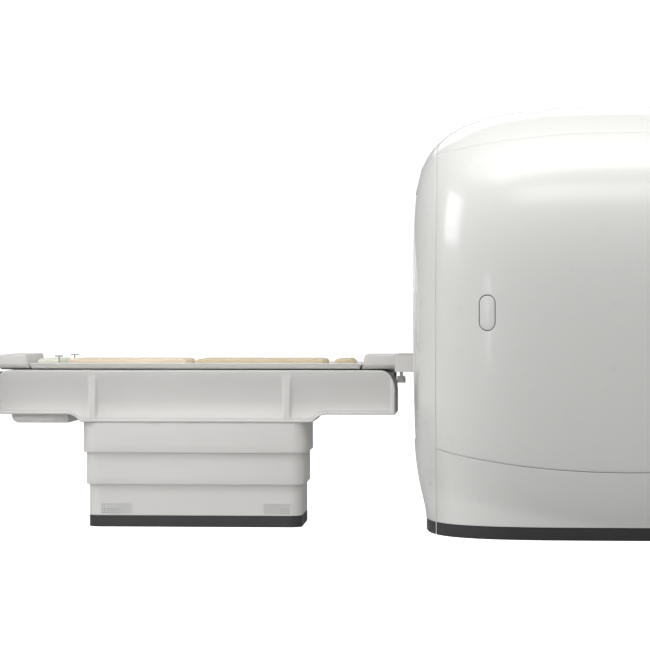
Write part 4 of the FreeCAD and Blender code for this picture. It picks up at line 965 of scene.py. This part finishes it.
def cushion(name, node, material, slant=0.0):
    low, high = (np.array(c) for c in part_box(node))
    size = high - low
    obj = pad_block(name, low, high, slant)
    start = coordinates(obj.data)
    inflate(obj)
    moved = coordinates(obj.data)
    if len(moved) == len(start):
        shift = moved - start
        length = np.linalg.norm(shift, axis=1, keepdims=True)
        moved = start + shift * np.minimum(1, CROWN / np.maximum(length, 1e-9))
    rest = low[2] + 0.0002
    moved = np.clip(moved, [low[0] + 0.0006, low[1] - 0.001, rest],
                    [high[0] - 0.0006, high[1] + 0.001, high[2] + 0.004])
    set_coordinates(obj.data, moved)
    smooth = obj.modifiers.new("smooth", "SMOOTH")
    smooth.factor, smooth.iterations = 0.5, 4
    finer = obj.modifiers.new("finer", "SUBSURF")
    finer.levels = finer.render_levels = 1 if size[0] < 0.3 else 0
    bake(obj)
    co = sewn(obj, low, size, (low[0] + high[0]) / 2)
    co[:, 2] = np.maximum(co[:, 2], rest)
    set_coordinates(obj.data, co)
    obj.data.update()
    obj.data.shade_smooth()
    obj.data.materials.clear()
    obj.data.materials.append(material)
    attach(obj, "moving_top")
    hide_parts(node)


cushion("foot_cushion", "pad_foot", IVORY)
cushion("leg_cushion", "pad_leg", PEACH)
cushion("torso_cushion", "pad_torso", TAN)
cushion("head_cushion", "pad_head", TAN, slant=0.013)


# ---------------------------------------------------------------- touch display that follows the face
def display():
    low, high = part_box("touch_display")
    middle_z, half_y, half_z, corner = (low.z + high.z) / 2 - 0.001, 0.120, 0.070, 0.012
    loop = np.array(plan_loop(half_y, half_z, corner, 10))
    rings = []
    for share, lift in ((0.0, 0.0034), (0.3, 0.0034), (0.6, 0.0034), (0.90, 0.0034), (0.975, 0.0033),
                        (0.992, 0.0024), (1.0, 0.0010), (1.0, -0.0060)):
        y, z = loop[:, 0] * share, middle_z + loop[:, 1] * share
        rings.append(np.column_stack([-(face_at(y, z) + lift), y, z]))
    grid = np.array(rings).transpose(1, 0, 2)
    obj = make("display_pane", placed(grid), grid_faces(*grid.shape[:2], wrap=True), "scanner", GLASS)
    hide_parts("touch_display")
    facing(obj, lambda centre: Vector((-1, 0, 0)))


display()


# ---------------------------------------------------------------- carried-over parts get softened edges
def softened(name, width):
    obj = nodes[name]
    obj.modifiers.new("weld", "WELD").merge_threshold = 0.00002
    edge = obj.modifiers.new("edge", "BEVEL")
    edge.width, edge.segments = width, 2
    edge.limit_method, edge.angle_limit = "ANGLE", math.radians(38)
    edge.use_clamp_overlap = True
    obj.modifiers.new("weighted", "WEIGHTED_NORMAL").keep_sharp = False
    obj.data.shade_smooth()


for name, width in (("bore_bridge", 0.0025), ("bridge_latch", 0.0012), ("control_panel", 0.003),
                    ("estop", 0.0012), ("up_button", 0.0006), ("down_button", 0.0006),
                    ("gantry_plinth", 0.0020), ("table_plinth", 0.0020), ("strap_pegs", 0.0012),
                    ("drive_motor", 0.001), ("lift_motors", 0.001), ("laser_module", 0.0012)):
    softened(name, width)


# ---------------------------------------------------------------- studio
# The floor and the world look white, but light the scanner much less than that.
floor = bpy.data.objects.new("studio_floor", bpy.data.meshes.new("studio_floor"))
floor.data.from_pydata([(-60, -40, 0), (60, -40, 0), (60, 60, 0), (-60, 60, 0)], [], [(0, 1, 2, 3)])
scene.collection.objects.link(floor)
paper, tree, shader = new_material("studio_floor")
coords = tree.nodes.new("ShaderNodeTexCoord").outputs["Object"]
mottle = blended(tree, noise(tree, coords, 3), (0.80, 0.80, 0.80), (0.78, 0.78, 0.78))
tree.links.new(mottle, shader.inputs["Base Color"])
shader.inputs["Roughness"].default_value = 0.9
seen = tree.nodes.new("ShaderNodeLightPath")
tree.links.new(seen.outputs["Is Camera Ray"], shader.inputs["Emission Strength"])
shader.inputs["Emission Color"].default_value = (1, 1, 1, 1)
floor.data.materials.append(paper)

world = bpy.data.worlds.new("studio")
scene.world = world
world.use_nodes = True
tree = world.node_tree
tree.nodes.clear()
out = tree.nodes.new("ShaderNodeOutputWorld")
mix = tree.nodes.new("ShaderNodeMixShader")
seen = tree.nodes.new("ShaderNodeLightPath")
tree.links.new(seen.outputs["Is Camera Ray"], mix.inputs[0])
for place, strength in ((1, 0.42), (2, 1.05)):
    sky = tree.nodes.new("ShaderNodeBackground")
    sky.inputs["Color"].default_value = (1, 1, 1, 1)
    sky.inputs["Strength"].default_value = strength
    tree.links.new(sky.outputs[0], mix.inputs[place])
tree.links.new(mix.outputs[0], out.inputs["Surface"])


def softbox(name, at, target, width, height, watts, spread=180):
    """Rectangular light at a place, aimed at another."""
    light = bpy.data.lights.new(name, "AREA")
    light.shape = "RECTANGLE"
    light.size, light.size_y = width, height
    light.energy = watts
    light.spread = math.radians(spread)
    obj = bpy.data.objects.new(name, light)
    obj.location = at
    obj.rotation_euler = (Vector(target) - Vector(at)).to_track_quat("-Z", "Y").to_euler()
    scene.collection.objects.link(obj)


softbox("overhead", (0.2, -1.9, 5.2), (0.2, -1.9, 0), 7.0, 2.5, 70)
softbox("hanging", (0.75, -1.75, 3.55), (0.6, -1.1, 1.2), 3.2, 0.8, 20)
softbox("front_high", (0.8, -3.2, 3.4), (0.8, -0.95, 1.35), 2.6, 0.6, 1.0, 60)
softbox("gantry_key", (0.2, -4.5, 4.2), (0.6, -0.9, 1.95), 3.0, 1.0, 1.0, 45)
softbox("left_high", (-6.0, -1.5, 3.6), (0.0, 0, 1.0), 3.0, 2.5, 116)
softbox("table_key", (-2.6, -4.5, 1.1), (-1.15, -0.3, 0.30), 1.2, 0.8, 3.0, 45)
softbox("far_fill", (0.5, 6.0, 5.0), (0.5, 0, 1.0), 6.0, 3.0, 70)
